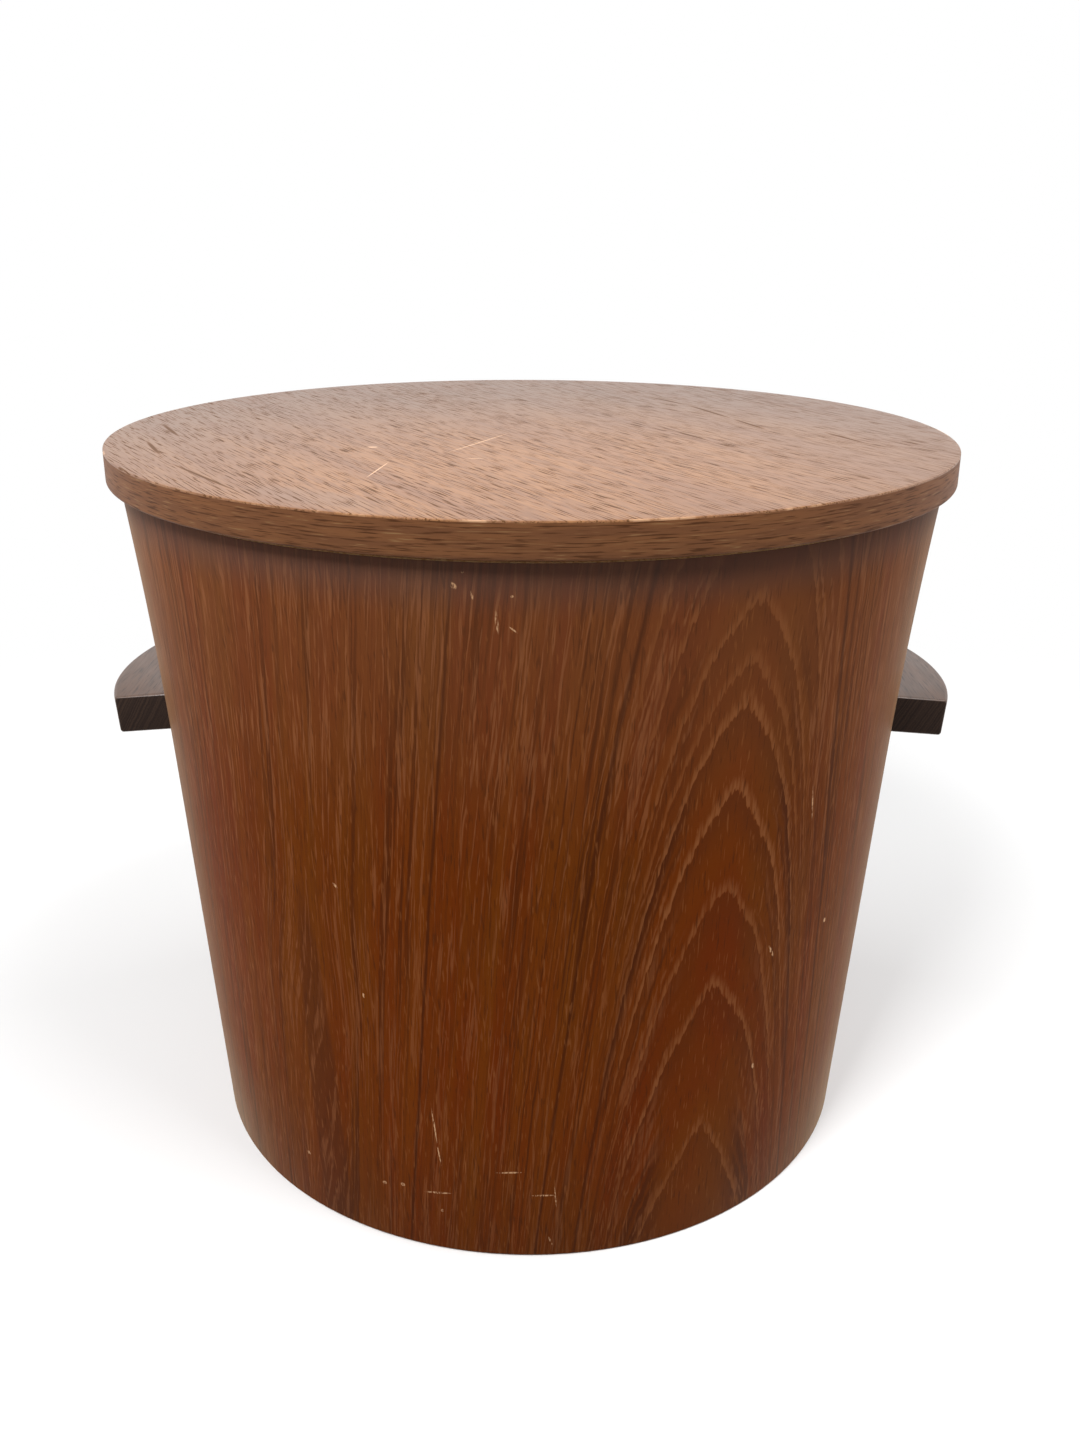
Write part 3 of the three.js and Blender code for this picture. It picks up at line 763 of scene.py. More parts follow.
def birch_face(name, pale, dark, along):
    """A rotary-cut face with its grain along an axis."""
    material, tree, shader = new_material(name, Specular_IOR_Level=0.25)
    place = millimetres(tree)
    wood = layer(tree, pale, dark, (streaks(tree, place, 9, 220, along, seed=2), 0.35, 0.65))
    flecks = streaks(tree, place, 0.5, 6, along, detail=1, seed=5)
    fleck = share(tree, (flecks, 0.58, 0.75))
    wood = layer(tree, wood, "8f6a42", fleck)
    grime = add(tree, "TexNoise", {"Vector": place, "Scale": 1 / 45, "Detail": 4})
    wood = layer(tree, wood, "7d6040", (grime, 0.55, 0.8))
    surface(tree, shader, wood, (flecks, 0.55, 0.75), (fleck, 0.3, -0.05))
    return material


def birch_edge(name, stacked):
    """A sawn edge, with its plies stacked up or else one behind the other."""
    material, tree, shader = new_material(name, Specular_IOR_Level=0.2)
    place = millimetres(tree)
    axes = add(tree, "SeparateXYZ", [place])
    level = add(tree, "CombineXYZ", {"X": axes.outputs["X"], "Y": axes.outputs["Y"]})
    radius = add(tree, "VectorMath", [level], operation="LENGTH")
    depth = axes.outputs["Z"] if stacked else radius
    wander = add(tree, "TexNoise", {"Vector": place, "Scale": 1 / 30, "Detail": 1})
    shifted = add(tree, "Math", [wander, 0.5, depth], operation="MULTIPLY_ADD")
    swing = add(tree, "Math", [shifted, PLY, PLY], operation="PINGPONG")
    ply = share(tree, (swing, 0.4 * PLY, 0.6 * PLY))
    wood = layer(tree, "c9a67a", "8c623c", ply)
    fibre = add(tree, "TexNoise", {"Vector": place, "Scale": 1 / 1.5, "Detail": 3})
    wood = layer(tree, wood, "a27a50", (fibre, 0.4, 0.75))
    surface(tree, shader, wood, (fibre, 0.6, 0.85), (ply, 0.4, -0.1))
    return material


lining = birch_face("birch_lining_veneer", "b98f62", "a87c50", "Z")
board = birch_face("birch_plywood_face", "cbab80", "bd9666", "X")
stacked_plies = birch_edge("birch_plywood_edge", True)
wall_plies = birch_edge("birch_plywood_rim", False)
print("birch: face, lining and two edges")

# %% [markdown]
# The shell is dressed in three woods: teak outside, birch inside, and plies on the rim and the foot. The
# direction that a face looks in tells which it is.

# %% Dress the shell
UPRIGHT = 0.5  # the normal of an upright face rises or falls less than this


def on_edge(middle, normal):
    """The edge of a level board."""
    return abs(normal.z) < UPRIGHT


def on_rim(middle, normal):
    """The top or the foot of a wall."""
    return abs(normal.z) > UPRIGHT


def on_lining(middle, normal):
    """The inside of a wall."""
    return normal.x * middle.x + normal.y * middle.y < 0 and abs(normal.z) < UPRIGHT


dress(shell, "body_shell", "bucket", "teak_veneer", teak, lining, wall_plies)
paint(shell, 1, on_lining)
paint(shell, 2, on_rim)

# %% [markdown]
# ## The base
#
# A disc of plywood is let into the foot, its edge sloped to the taper of the wall. A cylinder of the
# right height is the start. Its top face is scaled up to the wall's radius there, which slopes the edge,
# and the arrises are eased as sandpaper would do it.

# %% Model the base
LEVEL = 0.9  # the normal of a level face rises or falls more than this


def choose(piece, kind, chosen):
    """Enter edit mode with only the chosen faces or vertices selected."""
    pick(piece)
    bpy.ops.object.mode_set(mode="EDIT")
    bpy.ops.mesh.select_mode(type=kind)
    bpy.ops.mesh.select_all(action="DESELECT")
    bpy.ops.object.mode_set(mode="OBJECT")
    for part in piece.data.polygons if kind == "FACE" else piece.data.vertices:
        part.select = chosen(part)
    bpy.ops.object.mode_set(mode="EDIT")


def disc(name, radius, low, high):
    """A plain round board between two heights, as a start."""
    size = {"radius": radius * MM, "depth": (high - low) * MM}
    middle = (0, 0, (low + high) / 2 * MM)
    return begin(name, bpy.ops.mesh.primitive_cylinder_add, vertices=ROUND, location=middle, **size)


base_low, base_high = node_box("base_disc")
edge_low = wall_radius(base_low.z) - WALL - GAP
edge_high = wall_radius(base_high.z) - WALL - GAP
base = disc("base", edge_low, base_low.z, base_high.z)
choose(base, "FACE", lambda face: face.normal.z > LEVEL)
widen = edge_high / edge_low
bpy.ops.transform.resize(value=(widen, widen, 1), center_override=(0, 0, 0))
bpy.ops.object.mode_set(mode="OBJECT")
ease(base, 0.5)
dress(base, "base_disc", "bucket", "plywood", board, stacked_plies)
paint(base, 1, on_edge)

# %% [markdown]
# ## The grips
#
# Each grip is a flat block of dark hardwood with a bowed outer edge. It is set square to the leaning
# wall, and its back is scribed, that is cut to the wall's curve. We draw its plan, fill and extrude it,
# round the edges, set it in place and cut it with a solid of the wall's own outline. The second grip is
# a copy of the first, turned round the bucket.

# %% Model the grips
GRIP_LENGTH = 94
GRIP_THICKNESS = 19
GRIP_REACH = 28
GRIP_BOW = 8.6
BOW_STEPS = 24
SCRIBE_REACH = 60  # how far the scribing solid goes above and below a grip
SCRIBE_STEP = 12
SCREW_BITE = 17


def arc(across, up, radius, start, end, steps):
    """Points on an arc about a centre, from one angle to another in degrees."""
    angles = [math.radians(start + (end - start) * step / steps) for step in range(steps + 1)]
    return [(across + radius * math.cos(angle), up + radius * math.sin(angle)) for angle in angles]


def slab(name, outline, thickness):
    """A flat piece: an outline in the XZ plane, filled and extruded both ways along Y."""
    piece = draw(name, outline, closed=True)
    bpy.ops.mesh.select_all(action="SELECT")
    bpy.ops.mesh.edge_face_add()
    bpy.ops.transform.translate(value=(0, -thickness / 2 * MM, 0))
    bpy.ops.mesh.extrude_region_move(TRANSFORM_OT_translate={"value": (0, thickness * MM, 0)})
    close_up()
    return piece


half = GRIP_LENGTH / 2
bow_radius = (half**2 + GRIP_BOW**2) / (2 * GRIP_BOW)
bow = math.degrees(math.asin(half / bow_radius))
bowed_edge = arc(GRIP_REACH - bow_radius, 0, bow_radius, -bow, bow, BOW_STEPS)
grip = slab("grip_right", [(-2 * WALL, -half)] + bowed_edge + [(-2 * WALL, half)], GRIP_THICKNESS)
grip.rotation_euler = (math.pi / 2, 0, 0)
bpy.ops.object.transform_apply(location=True, rotation=True, scale=True)
ease(grip, 1.4, segments=3)
put(grip, 0, GRIP_RADIUS, GRIP_HEIGHT, GRIP_LEAN)

offsets = range(-SCRIBE_REACH, SCRIBE_REACH + 1, SCRIBE_STEP)
scribe_levels = [GRIP_HEIGHT + offset for offset in offsets]
scribe_outline = [(wall_radius(level) + GAP, level) for level in scribe_levels]
scribe_outline = [(0, scribe_levels[0])] + scribe_outline + [(0, scribe_levels[-1])]
cut(grip, turn("scribe", scribe_outline, 2 * ROUND))
for side in (-SCREW_ANGLE, SCREW_ANGLE):
    pilot = drill_bit(SCREW_SHANK, -WALL, SCREW_BITE + GAP)
    put(pilot, side, GRIP_RADIUS, GRIP_HEIGHT, math.pi / 2 + GRIP_LEAN)
    cut(grip, pilot)
other_grip = copy_of(grip, "grip_left")
put(other_grip, 0, 0, 0, heading=math.pi)
print("grips:", len(grip.data.polygons), "faces each")

# %% [markdown]
# ## Dark hardwood
#
# The grips are a close-grained hardwood, stained dark brown and polished. The grain runs from end to
# end, so the long faces show fine streaks and take a sheen, and the sawn ends show slanting ring lines.
# End grain drinks up stain, so it is much darker, and it stays matt. The two are separate materials, and
# the faces that look forwards or back get the second one. Pores are drawn wider than real ones, so that
# they show.

# %% Stained hardwood, long grain and end grain
RING_SLANT = 0.55  # sideways run of the ring lines across an end
RING_WIDTH = 1.2
PIT = 0.7  # distance between open pores on an end
END_FACING = 0.8  # the normal of a sawn end runs along the grip by more than this

hardwood, tree, shader = new_material("stained_hardwood", Specular_IOR_Level=0.7)
place = millimetres(tree)
wood = layer(tree, "5a4030", "4d3628", (streaks(tree, place, 5, 90, "Y"), 0.3, 0.7))
pores = streaks(tree, place, 0.6, 14, "Y", detail=1, seed=4)
pore = share(tree, (pores, 0.56, 0.72))
wood = layer(tree, wood, "261810", pore)
surface(tree, shader, wood, (pores, 0.34, 0.5), (pore, 0.3, -PORE_DEPTH))

end_grain, tree, shader = new_material("stained_hardwood_end_grain", Specular_IOR_Level=0.08)
place = millimetres(tree)
axes = add(tree, "SeparateXYZ", [place])
run = [axes.outputs["Z"], -RING_SLANT, axes.outputs["X"]]
slant = add(tree, "Math", run, operation="MULTIPLY_ADD")
wobble = add(tree, "TexNoise", {"Vector": place, "Scale": 1 / 6, "Detail": 2})
rings = add(tree, "Math", [wobble, 1.5, slant], operation="MULTIPLY_ADD")
bands = {"W": rings, "Scale": 1 / RING_WIDTH, "Detail": 2}
layers = add(tree, "TexNoise", bands, noise_dimensions="1D")
wood = layer(tree, "291f1b", "382b24", (layers, 0.38, 0.62))
pits = add(tree, "TexVoronoi", {"Vector": place, "Scale": 1 / PIT})
pit = share(tree, (pits.outputs["Distance"], 0.3, 0.1))
wood = layer(tree, wood, "150e0c", pit)
surface(tree, shader, wood, (layers, 0.6, 0.8), (pit, 0.3, -PORE_DEPTH))

for piece, node in ((grip, "handle_right"), (other_grip, "handle_left")):
    dress(piece, node, "bucket", "dark_hardwood", hardwood, end_grain)
    paint(piece, 1, lambda middle, normal: abs(normal.y) > END_FACING)

# %% [markdown]
# ## Screws and washers of the grips
#
# Round-headed slotted screws are driven from inside, through the wall and into the grips, each with a
# washer under its head. A screw is turned from half its outline and slotted with a thin block. One
# screw and one washer are modelled at the origin, and copies are set square to the wall.

# %% Model the grip screws
HEAD_RADIUS = 4.6
HEAD_RISE = 2.8
SCREW_POINT = 3.3
WASHER_RADIUS = 6
WASHER_THICKNESS = 1.2
SLOT_WIDTH = 1.2
SLOT_DEPTH = 1

wall_face = -WALL * math.cos(GRIP_LEAN) - GAP
washer_face = wall_face - WASHER_THICKNESS
seat = washer_face - GAP


def dome(radius, level, rise, steps=8):
    """Points of a domed head, from its rim to its crown."""
    return [(radius * across, level + rise * up) for across, up in arc(0, 0, 1, 0, 90, steps)]


def saw_slot(piece, level):
    """Cut a screwdriver slot across a head at a level on its axis."""
    scale = (SLOT_WIDTH * MM, 4 * HEAD_RADIUS * MM, 2 * SLOT_DEPTH * MM)
    place = (0, 0, level * MM)
    cut(piece, begin("saw", bpy.ops.mesh.primitive_cube_add, size=1, location=place, scale=scale))


head = dome(HEAD_RADIUS, seat, -HEAD_RISE)[::-1]
shank = [(SCREW_SHANK, seat), (SCREW_SHANK, SCREW_BITE - SCREW_POINT), (0, SCREW_BITE)]
screw = turn("grip_screw", head + shank, SMALL)
saw_slot(screw, seat - HEAD_RISE)
ease(screw, 0.12, segments=1, angle=50)
bore = SCREW_SHANK + GAP
ring = [(bore, washer_face), (WASHER_RADIUS, washer_face), (WASHER_RADIUS, wall_face), (bore, wall_face)]
washer = turn("grip_washer", ring, SMALL, closed=True)
ease(washer, 0.25)
print("screw and washer:", len(screw.data.polygons), "and", len(washer.data.polygons), "faces")

# %% [markdown]
# ## Zinc-plated steel
#
# The screws and washers are bright zinc over steel. Zinc dulls in patches, so its colour drifts between
# a clean grey and a faintly yellow one, and dull spots are rougher. Four copies of screw and washer are set
# in their holes.

# %% Zinc plate


def worn_metal(name, clean, dull, patch, smooth, coarse):
    """A metal whose sheen breaks up in patches of a size in millimetres."""
    material, tree, shader = new_material(name, Metallic=1)
    place = millimetres(tree)
    patches = add(tree, "TexNoise", {"Vector": place, "Scale": 1 / patch, "Detail": 4})
    dulled = share(tree, (patches, 0.4, 0.65))
    rough = add(tree, "MapRange", {"Value": dulled, "To Min": smooth, "To Max": coarse})
    feed(tree, shader, {"Base Color": layer(tree, clean, dull, dulled), "Roughness": rough})
    return material


zinc = worn_metal("zinc_plated_steel", "c4c0b4", "9a9078", 2.5, 0.28, 0.5)
for side, azimuth in GRIPS.items():
    for end, angle in (("front", -SCREW_ANGLE), ("back", SCREW_ANGLE)):
        turned = azimuth + (angle if side == "right" else -angle)
        for kind, master in (("screw", screw), ("washer", washer)):
            fixing = copy_of(master, f"{kind}_{side}_{end}")
            put(fixing, turned, GRIP_RADIUS, GRIP_HEIGHT, math.pi / 2 + GRIP_LEAN)
            dress(fixing, f"handle_{kind}_{side}_{end}", "bucket", "screw_steel", zinc)
bpy.data.objects.remove(screw)
bpy.data.objects.remove(washer)

# %% [markdown]
# ## The lid
#
# The lid is a plywood board with a solid teak band round its edge and one sheet of teak over both. A
# smaller disc screwed on below keeps it centred in the liner. Board and disc start as cylinders. The
# band is turned, with a rounded lower edge. The top sheet is turned in finer steps, because its edge is
# nicked in a few places, and each nick is a few rim points pushed in and down.

# %% Model the lid
LID_UNDERSIDE = node_box("lid_panel")[0].z
BOARD_RADIUS = node_box("lid_panel")[1].x
BOARD_TOP = node_box("lid_panel")[1].z
LID_TOP = node_box("lid_top_veneer")[1].z
DISC_RADIUS = node_box("lid_locating_disc")[1].x
DISC_LOW = node_box("lid_locating_disc")[0].z
BAND_WIDTH = 6
BAND_ROUND = 1.2  # radius of its lower edge
VENEER_STEPS = 3 * ROUND
RIM_NICKS = {-123: 0.5, -68: 0.6, -97: 0.4, -20: 0.4, 61: 0.5, 148: 0.6}  # azimuth and depth
NICK_REACH = 3
NICK_SLOPE = 0.5  # how far down a rim point goes, for each millimetre in
NICK_DEPTH = 0.8  # share of the sheet's thickness that a nick can reach
CHAMFER = 2

panel = disc("lid_board", BOARD_RADIUS, LID_UNDERSIDE, BOARD_TOP)
ease(panel, 0.3)

inner = LID_RADIUS - BAND_WIDTH
lower_edge = arc(LID_RADIUS - BAND_ROUND, LID_UNDERSIDE + BAND_ROUND, BAND_ROUND, -90, 0, 4)
band_outline = [(inner, LID_UNDERSIDE)] + lower_edge + [(LID_RADIUS, BOARD_TOP), (inner, BOARD_TOP)]
band = turn("lid_band", band_outline, 2 * ROUND, closed=True)

thickness = LID_TOP - BOARD_TOP
top_edge = arc(LID_RADIUS - thickness / 2, LID_TOP - thickness / 2, thickness / 2, 0, 90, 3)
sheet_outline = [(0, BOARD_TOP), (LID_RADIUS, BOARD_TOP)] + top_edge
sheet_outline += [(LID_RADIUS - NICK_REACH, LID_TOP), (0, LID_TOP)]
top_sheet = turn("lid_top", sheet_outline, VENEER_STEPS)
for degrees, depth in RIM_NICKS.items():
    nick = Vector((math.cos(math.radians(degrees)), math.sin(math.radians(degrees)), 0))
    push = (nick + Vector((0, 0, NICK_SLOPE))) * depth * MM
    for vertex in top_sheet.data.vertices:
        place = vertex.co / MM
        away = (place - nick * LID_RADIUS).length
        if away < NICK_REACH and place.z > LID_TOP - thickness * NICK_DEPTH:
            vertex.co -= push * (1 - away / NICK_REACH)

locator = disc("lid_locator", DISC_RADIUS, DISC_LOW, LID_UNDERSIDE)
choose(locator, "FACE", lambda face: face.normal.z < -LEVEL)
bpy.ops.mesh.bevel(offset=CHAMFER * MM, segments=1)
bpy.ops.object.mode_set(mode="OBJECT")
ease(locator, 0.4)
print("lid:", sum(len(piece.data.polygons) for piece in (panel, band, top_sheet, locator)), "faces")

# %% [markdown]
# Four countersunk screws hold the locating disc to the board. The same outline makes the screw and, with
# some play added all round, the drill for its hole.

# %% Model the lid screws
LID_SCREWS = 4
LID_SCREW_CIRCLE = 130
LID_SCREW_SHANK = 1.8
LID_SCREW_HEAD = 4
LID_SCREW_SINK = 2.4
LID_SCREW_LENGTH = 18
head_face = DISC_LOW - LID_UNDERSIDE + GAP


def lid_screw_side(play):
    """Outline of a countersunk screw from the rim of its head to its point."""
    shank_radius = LID_SCREW_SHANK + play
    tip = head_face + LID_SCREW_LENGTH + play
    neck = [(shank_radius, head_face + LID_SCREW_SINK), (shank_radius, tip - LID_SCREW_SHANK)]
    return [(LID_SCREW_HEAD + play, head_face)] + neck + [(0, tip)]


lid_screw = turn("lid_screw", [(0, head_face)] + lid_screw_side(0), SMALL)
saw_slot(lid_screw, head_face)
screw_places = [FULL_TURN * (index + 0.5) / LID_SCREWS for index in range(LID_SCREWS)]
mouth = head_face - 2 * GAP
for azimuth in screw_places:
    for piece in (panel, locator):
        drill = turn("drill", [(0, mouth), (LID_SCREW_HEAD + GAP, mouth)] + lid_screw_side(GAP), SMALL)
        put(drill, azimuth, LID_SCREW_CIRCLE, LID_UNDERSIDE, heading=0)
        cut(piece, drill)
for index, azimuth in enumerate(screw_places, 1):
    fixing = copy_of(lid_screw, f"lid_fixing_{index}")
    put(fixing, azimuth, LID_SCREW_CIRCLE, LID_UNDERSIDE, heading=0)
    dress(fixing, f"lid_screw_{index}", "lid", "screw_steel", zinc)
bpy.data.objects.remove(lid_screw)

# %% [markdown]
# ## Teak on the lid
#
# The top is the same wood, but dry from years of use, so it is lighter and its open pores stand out as
# dark dashes that all run one way across the disc. A worn polish gives it a milky sheen when seen from
# low down, as here. The polish doesn't reach into the open grain, which stays dull. A few curved lines
# of denser grain cross the back, and a few scratches go down to pale wood.

# %% Marks on the lid, by place in plan
LID_SCRATCHES = [  # start and end in plan, and half the width
    ((-69, -129), (-62, -85), 0.4),
    ((-41, -70), (-9, -3), 0.45),
    ((-77, -51), (-71, -51), 1.6),
    ((-31, -81), (-20, -78), 0.5),
]
LID_LINES = [
    ((66, 130), (88, 92), 1.6),
    ((85, 99), (107, 38), 1.6),
    ((104, 46), (119, 2), 1.5),
    ((143, 5), (161, -41), 1.5),
    ((68, 7), (87, -34), 1.3),
    ((-190, 20), (-168, -28), 1.4),
    ((-184, -32), (-164, -79), 1.4),
    ((-161, -88), (-111, -161), 1.2),
]
LID_BEST_LIT = (0, -110)  # where the painted light on the lid is strongest
LID_LIGHT_FALLOFF = (40, 300)  # distances from there, between which the painted fall-off of light greys it
LID_STAIN = ((-122, -138), (-46, -192), 16)
print("lid marks:", len(LID_LINES), "lines and", len(LID_SCRATCHES), "scratches")

# %% [markdown]
# The layers follow in the same order as on the wall: broad bands painted greyer away from the front, a
# painted fall-off of light, a stain, the fine lines between the pores, the open grain, and last the wear.
# The pores stand in crowds.
# They are drawn wider than real ones, so that they show.

# %% Worn teak top
LID_GRAIN = math.radians(-60)  # direction of the grain in plan
LID_ARRIS = (LID_RADIUS - 1, LID_RADIUS - 0.3)  # distances from the middle, where the edge is rubbed

sheen = {"Sheen_Weight": 0.12, "Sheen_Roughness": 0.4}
lid_teak, tree, shader = new_material("worn_teak_top", Specular_IOR_Level=0.33, **sheen)
place = millimetres(tree)
along = add(tree, "Mapping", {"Vector": place, "Rotation": (0, 0, -LID_GRAIN)})

wood = layer(tree, "98673c", "8c5e3b", (streaks(tree, along, 22, 260, "X"), 0.35, 0.65))
# Painted fall-off of light: the lid greys away from its front, where the light was strongest
away = add(tree, "VectorMath", [place, (*LID_BEST_LIT, LID_TOP)], operation="DISTANCE")
wood = layer(tree, wood, "68554a", (away, *LID_LIGHT_FALLOFF), 0.8)
wood = layer(tree, wood, "75625a", mark(tree, place, *LID_STAIN), 0.3)
fine = near(tree, streaks(tree, along, 4, 170, "X", detail=3, seed=6), 0.5, 0.06)
wood = layer(tree, wood, "704629", fine, 0.6)
fibres = streaks(tree, along, 1.1, 9, "X", seed=2)
wood = layer(tree, wood, "6e4629", (fibres, 0.48, 0.68), 0.55)

# Open grain: the pores, and the few long lines
crowd = streaks(tree, along, 26, 90, "X", seed=4)
pores = streaks(tree, along, 0.75, 18, "X", detail=1, seed=9)
count = add(tree, "Math", [crowd, 0.2, pores], operation="MULTIPLY_ADD")
opened = share(tree, (count, 0.645, 0.765))
for ends in LID_LINES:
    opened = add(tree, "Math", [opened, mark(tree, place, *ends)], operation="MAXIMUM")
wood = layer(tree, wood, "583719", opened)

# Wear: the arris rubbed pale here and there, and scratches
from_middle = add(tree, "VectorMath", [place, (0, 0, LID_TOP)], operation="DISTANCE")
chips = add(tree, "TexNoise", {"Vector": place, "Scale": 1 / 14, "Detail": 4})
wood = layer(tree, wood, "b48a68", (from_middle, *LID_ARRIS), (chips, 0.56, 0.66))
for ends in LID_SCRATCHES:
    wood = layer(tree, wood, "ddb18c", mark(tree, place, *ends, 0.7))
surface(tree, shader, wood, (opened, 0.38, 1), (opened, 0.2, -0.1))
print("lid veneer:", len(lid_teak.node_tree.nodes), "nodes")

# %% [markdown]
# ## The lid's teak band
#
# The band is a strip of solid teak bent round the board, with its two ends butted at the back. Its grain
# runs round the edge in fine level streaks, brown and a little grey, with pale fibres here and there.
# The streaks are drawn wider than real ones, which would be too fine to show. With this last finish the
# lid's four layers can be dressed.

# %% Teak edge band
band_teak, tree, shader = new_material("teak_edge_band", Specular_IOR_Level=0.1)
_, girth, up = unrolled(tree, LID_RADIUS)
strip = add(tree, "CombineXYZ", {"X": girth, "Z": up})
wood = layer(tree, "71492d", "664129", (streaks(tree, strip, 3, 60, "X"), 0.35, 0.65))
fine = streaks(tree, strip, 0.7, 14, "X", seed=3)
dark = share(tree, (fine, 0.52, 0.66))
wood = layer(tree, wood, "482a15", dark)
wood = layer(tree, wood, "82603f", (fine, 0.4, 0.28))
surface(tree, shader, wood, (fine, 0.42, 0.6), (dark, 0.35, -PORE_DEPTH))


def on_disc_edge(middle, normal):
    """The edge of the locating disc, without its screw holes."""
    beyond_screws = math.hypot(middle.x, middle.y) > LID_SCREW_CIRCLE + 2 * LID_SCREW_HEAD
    return beyond_screws and on_edge(middle, normal)


dress(panel, "lid_panel", "lid", "plywood", board, stacked_plies)
paint(panel, 1, on_edge)
dress(band, "lid_edge_band", "lid", "teak_lipping", band_teak)
dress(top_sheet, "lid_top_veneer", "lid", "lid_veneer", lid_teak)
dress(locator, "lid_locating_disc", "lid", "plywood", board, stacked_plies)
paint(locator, 1, on_disc_edge)

# %% [markdown]
# ## The liner
#
# A sheet-steel liner keeps the coal off the wood. Its wall is a plain cone with the foot turned in under
# the bottom and the rim turned out over the shell. The sheet's section is drawn with both its faces and
# spun.

# %% Model the liner wall
SHEET = 1
LINER_CLEARANCE = 7
HEM = 9
RIM_BEND = 3
LINER_FOOT = node_box("liner_wall")[0].z
FLANGE_TOP = node_box("liner_wall")[1].z
FLANGE_RADIUS = node_box("liner_wall")[1].x


def liner_radius(height):
    """Outside radius of the liner at a height."""
    return FOOT_RADIUS - WALL - LINER_CLEARANCE + TAPER * height


bend_level = FLANGE_TOP - RIM_BEND
bend_middle = liner_radius(bend_level) + RIM_BEND - SHEET
outer_bend = arc(bend_middle, bend_level, RIM_BEND - SHEET, 180, 90, 6)
inner_bend = arc(bend_middle, bend_level, RIM_BEND, 90, 180, 6)
foot_radius = liner_radius(LINER_FOOT)
wall_outline = [(foot_radius - HEM, LINER_FOOT), (foot_radius, LINER_FOOT)] + outer_bend
wall_outline += [(FLANGE_RADIUS, FLANGE_TOP - SHEET), (FLANGE_RADIUS, FLANGE_TOP)] + inner_bend
hem_top = LINER_FOOT + SHEET
wall_outline += [(liner_radius(hem_top) - SHEET, hem_top), (foot_radius - HEM, hem_top)]
liner = turn("liner", wall_outline, ROUND, closed=True)
print("liner wall:", len(liner.data.polygons), "faces")

# %% [markdown]
# A strip is joined on for the lapped side seam. Two drop loops will hang inside the wall, so their rivet
# holes are drilled too. One helper sets whatever belongs to a loop against the leaning wall.

# %% Join the seam and drill for the rivets
LAP_WIDTH = 12
LAP_AZIMUTH = math.radians(135)
PAN_LIP = 10
LOOP_HEIGHT = 288
LOOPS = {"front": -math.pi / 2, "back": math.pi / 2}
RIVET_OFFSET = 10
RIVET_SHANK = 1.6

lap_foot = hem_top + PAN_LIP + 2 * GAP
lap_middle = (lap_foot + bend_level) / 2
lap_length = (bend_level - lap_foot) / math.cos(LOWER_LEAN)
lap_size = (2 * SHEET * MM, LAP_WIDTH * MM, lap_length * MM)
lap = begin("lap", bpy.ops.mesh.primitive_cube_add, size=1, scale=lap_size)
ease(lap, 0.4)
put(lap, LAP_AZIMUTH, liner_radius(lap_middle) - SHEET, lap_middle, LOWER_LEAN)
cut(liner, lap, "UNION")


def put_on_liner(piece, azimuth, along=0.0, tilt=0.0):
    """Set a piece on the liner's inside, a way along the wall from the loop's bar. Its X leads in."""
    radius = liner_radius(LOOP_HEIGHT) - SHEET + along * math.sin(LOWER_LEAN)
    height = LOOP_HEIGHT + along * math.cos(LOWER_LEAN)
    put(piece, azimuth, radius, height, tilt - LOWER_LEAN, azimuth + math.pi)


def drill_for_rivets(piece, azimuth):
    """Drill a piece on the liner below and above the loop's bar."""
    for along in (-RIVET_OFFSET, RIVET_OFFSET):
        hole = drill_bit(RIVET_SHANK, -3 * SHEET, 4 * SHEET)
        put_on_liner(hole, azimuth, along, math.pi / 2)
        cut(piece, hole)


for azimuth in LOOPS.values():
    drill_for_rivets(liner, azimuth)
print("liner:", len(liner.data.polygons), "faces")

# %% [markdown]
# The liner's bottom is a shallow pan that drops in from above and rests on the turned-in foot. A round
# bead is pressed up in it, which stiffens the sheet. Its outline has both faces of the sheet, one
# thickness apart, with the bead as a smooth wave.

# %% Model the liner's bottom
BEAD_RADIUS = 118
BEAD_WIDTH = 16
BEAD_HEIGHT = 3
BEAD_STEPS = 12
PAN_BEND = 3

pan_under = hem_top + GAP
pan_lip = pan_under + PAN_LIP


def pan_edge(height):
    """Outside radius of the pan at a height."""
    return liner_radius(height) - SHEET - GAP


def bead(level):
    """Points across the pressed bead, for one face of the sheet."""
    ways = [step / BEAD_STEPS for step in range(BEAD_STEPS + 1)]
    wave = [BEAD_HEIGHT * math.sin(math.pi * way) ** 2 for way in ways]
    return [(BEAD_RADIUS + BEAD_WIDTH * (way - 0.5), level + up) for way, up in zip(ways, wave)]


bend_up = pan_under + PAN_BEND
bend_in = pan_edge(bend_up) - PAN_BEND
pan_outline = [(0, pan_under)] + bead(pan_under) + arc(bend_in, bend_up, PAN_BEND, -90, 0, 5)
pan_outline += [(pan_edge(pan_lip), pan_lip), (pan_edge(pan_lip) - SHEET, pan_lip)]
pan_outline += arc(bend_in, bend_up, PAN_BEND - SHEET, 0, -90, 5)
pan_outline += bead(pan_under + SHEET)[::-1] + [(0, pan_under + SHEET)]
pan = turn("liner_pan", pan_outline, ROUND)
print("pan:", len(pan.data.polygons), "faces")

# %% [markdown]
# ## Drop loops
#
# The liner is lifted by two loops of thick wire. Each turns in a saddle, a strap pressed round the wire
# and riveted to the wall. The strap's section is drawn, set on the wall and spun a few degrees round the
# bucket's own axis, so that its feet follow the wall. Its corners are rounded, and Solidify gives it the
# thickness of the strip.

# %% Model the saddles
WIRE = 5
LOOP_STANDOFF = 6.2
STRAP = 1.2
STRAP_WIDTH = 24
STRAP_FOOT = 15
STRAP_BEND = 1.6
STRAP_CORNER = 3
BEND_STEPS = 8

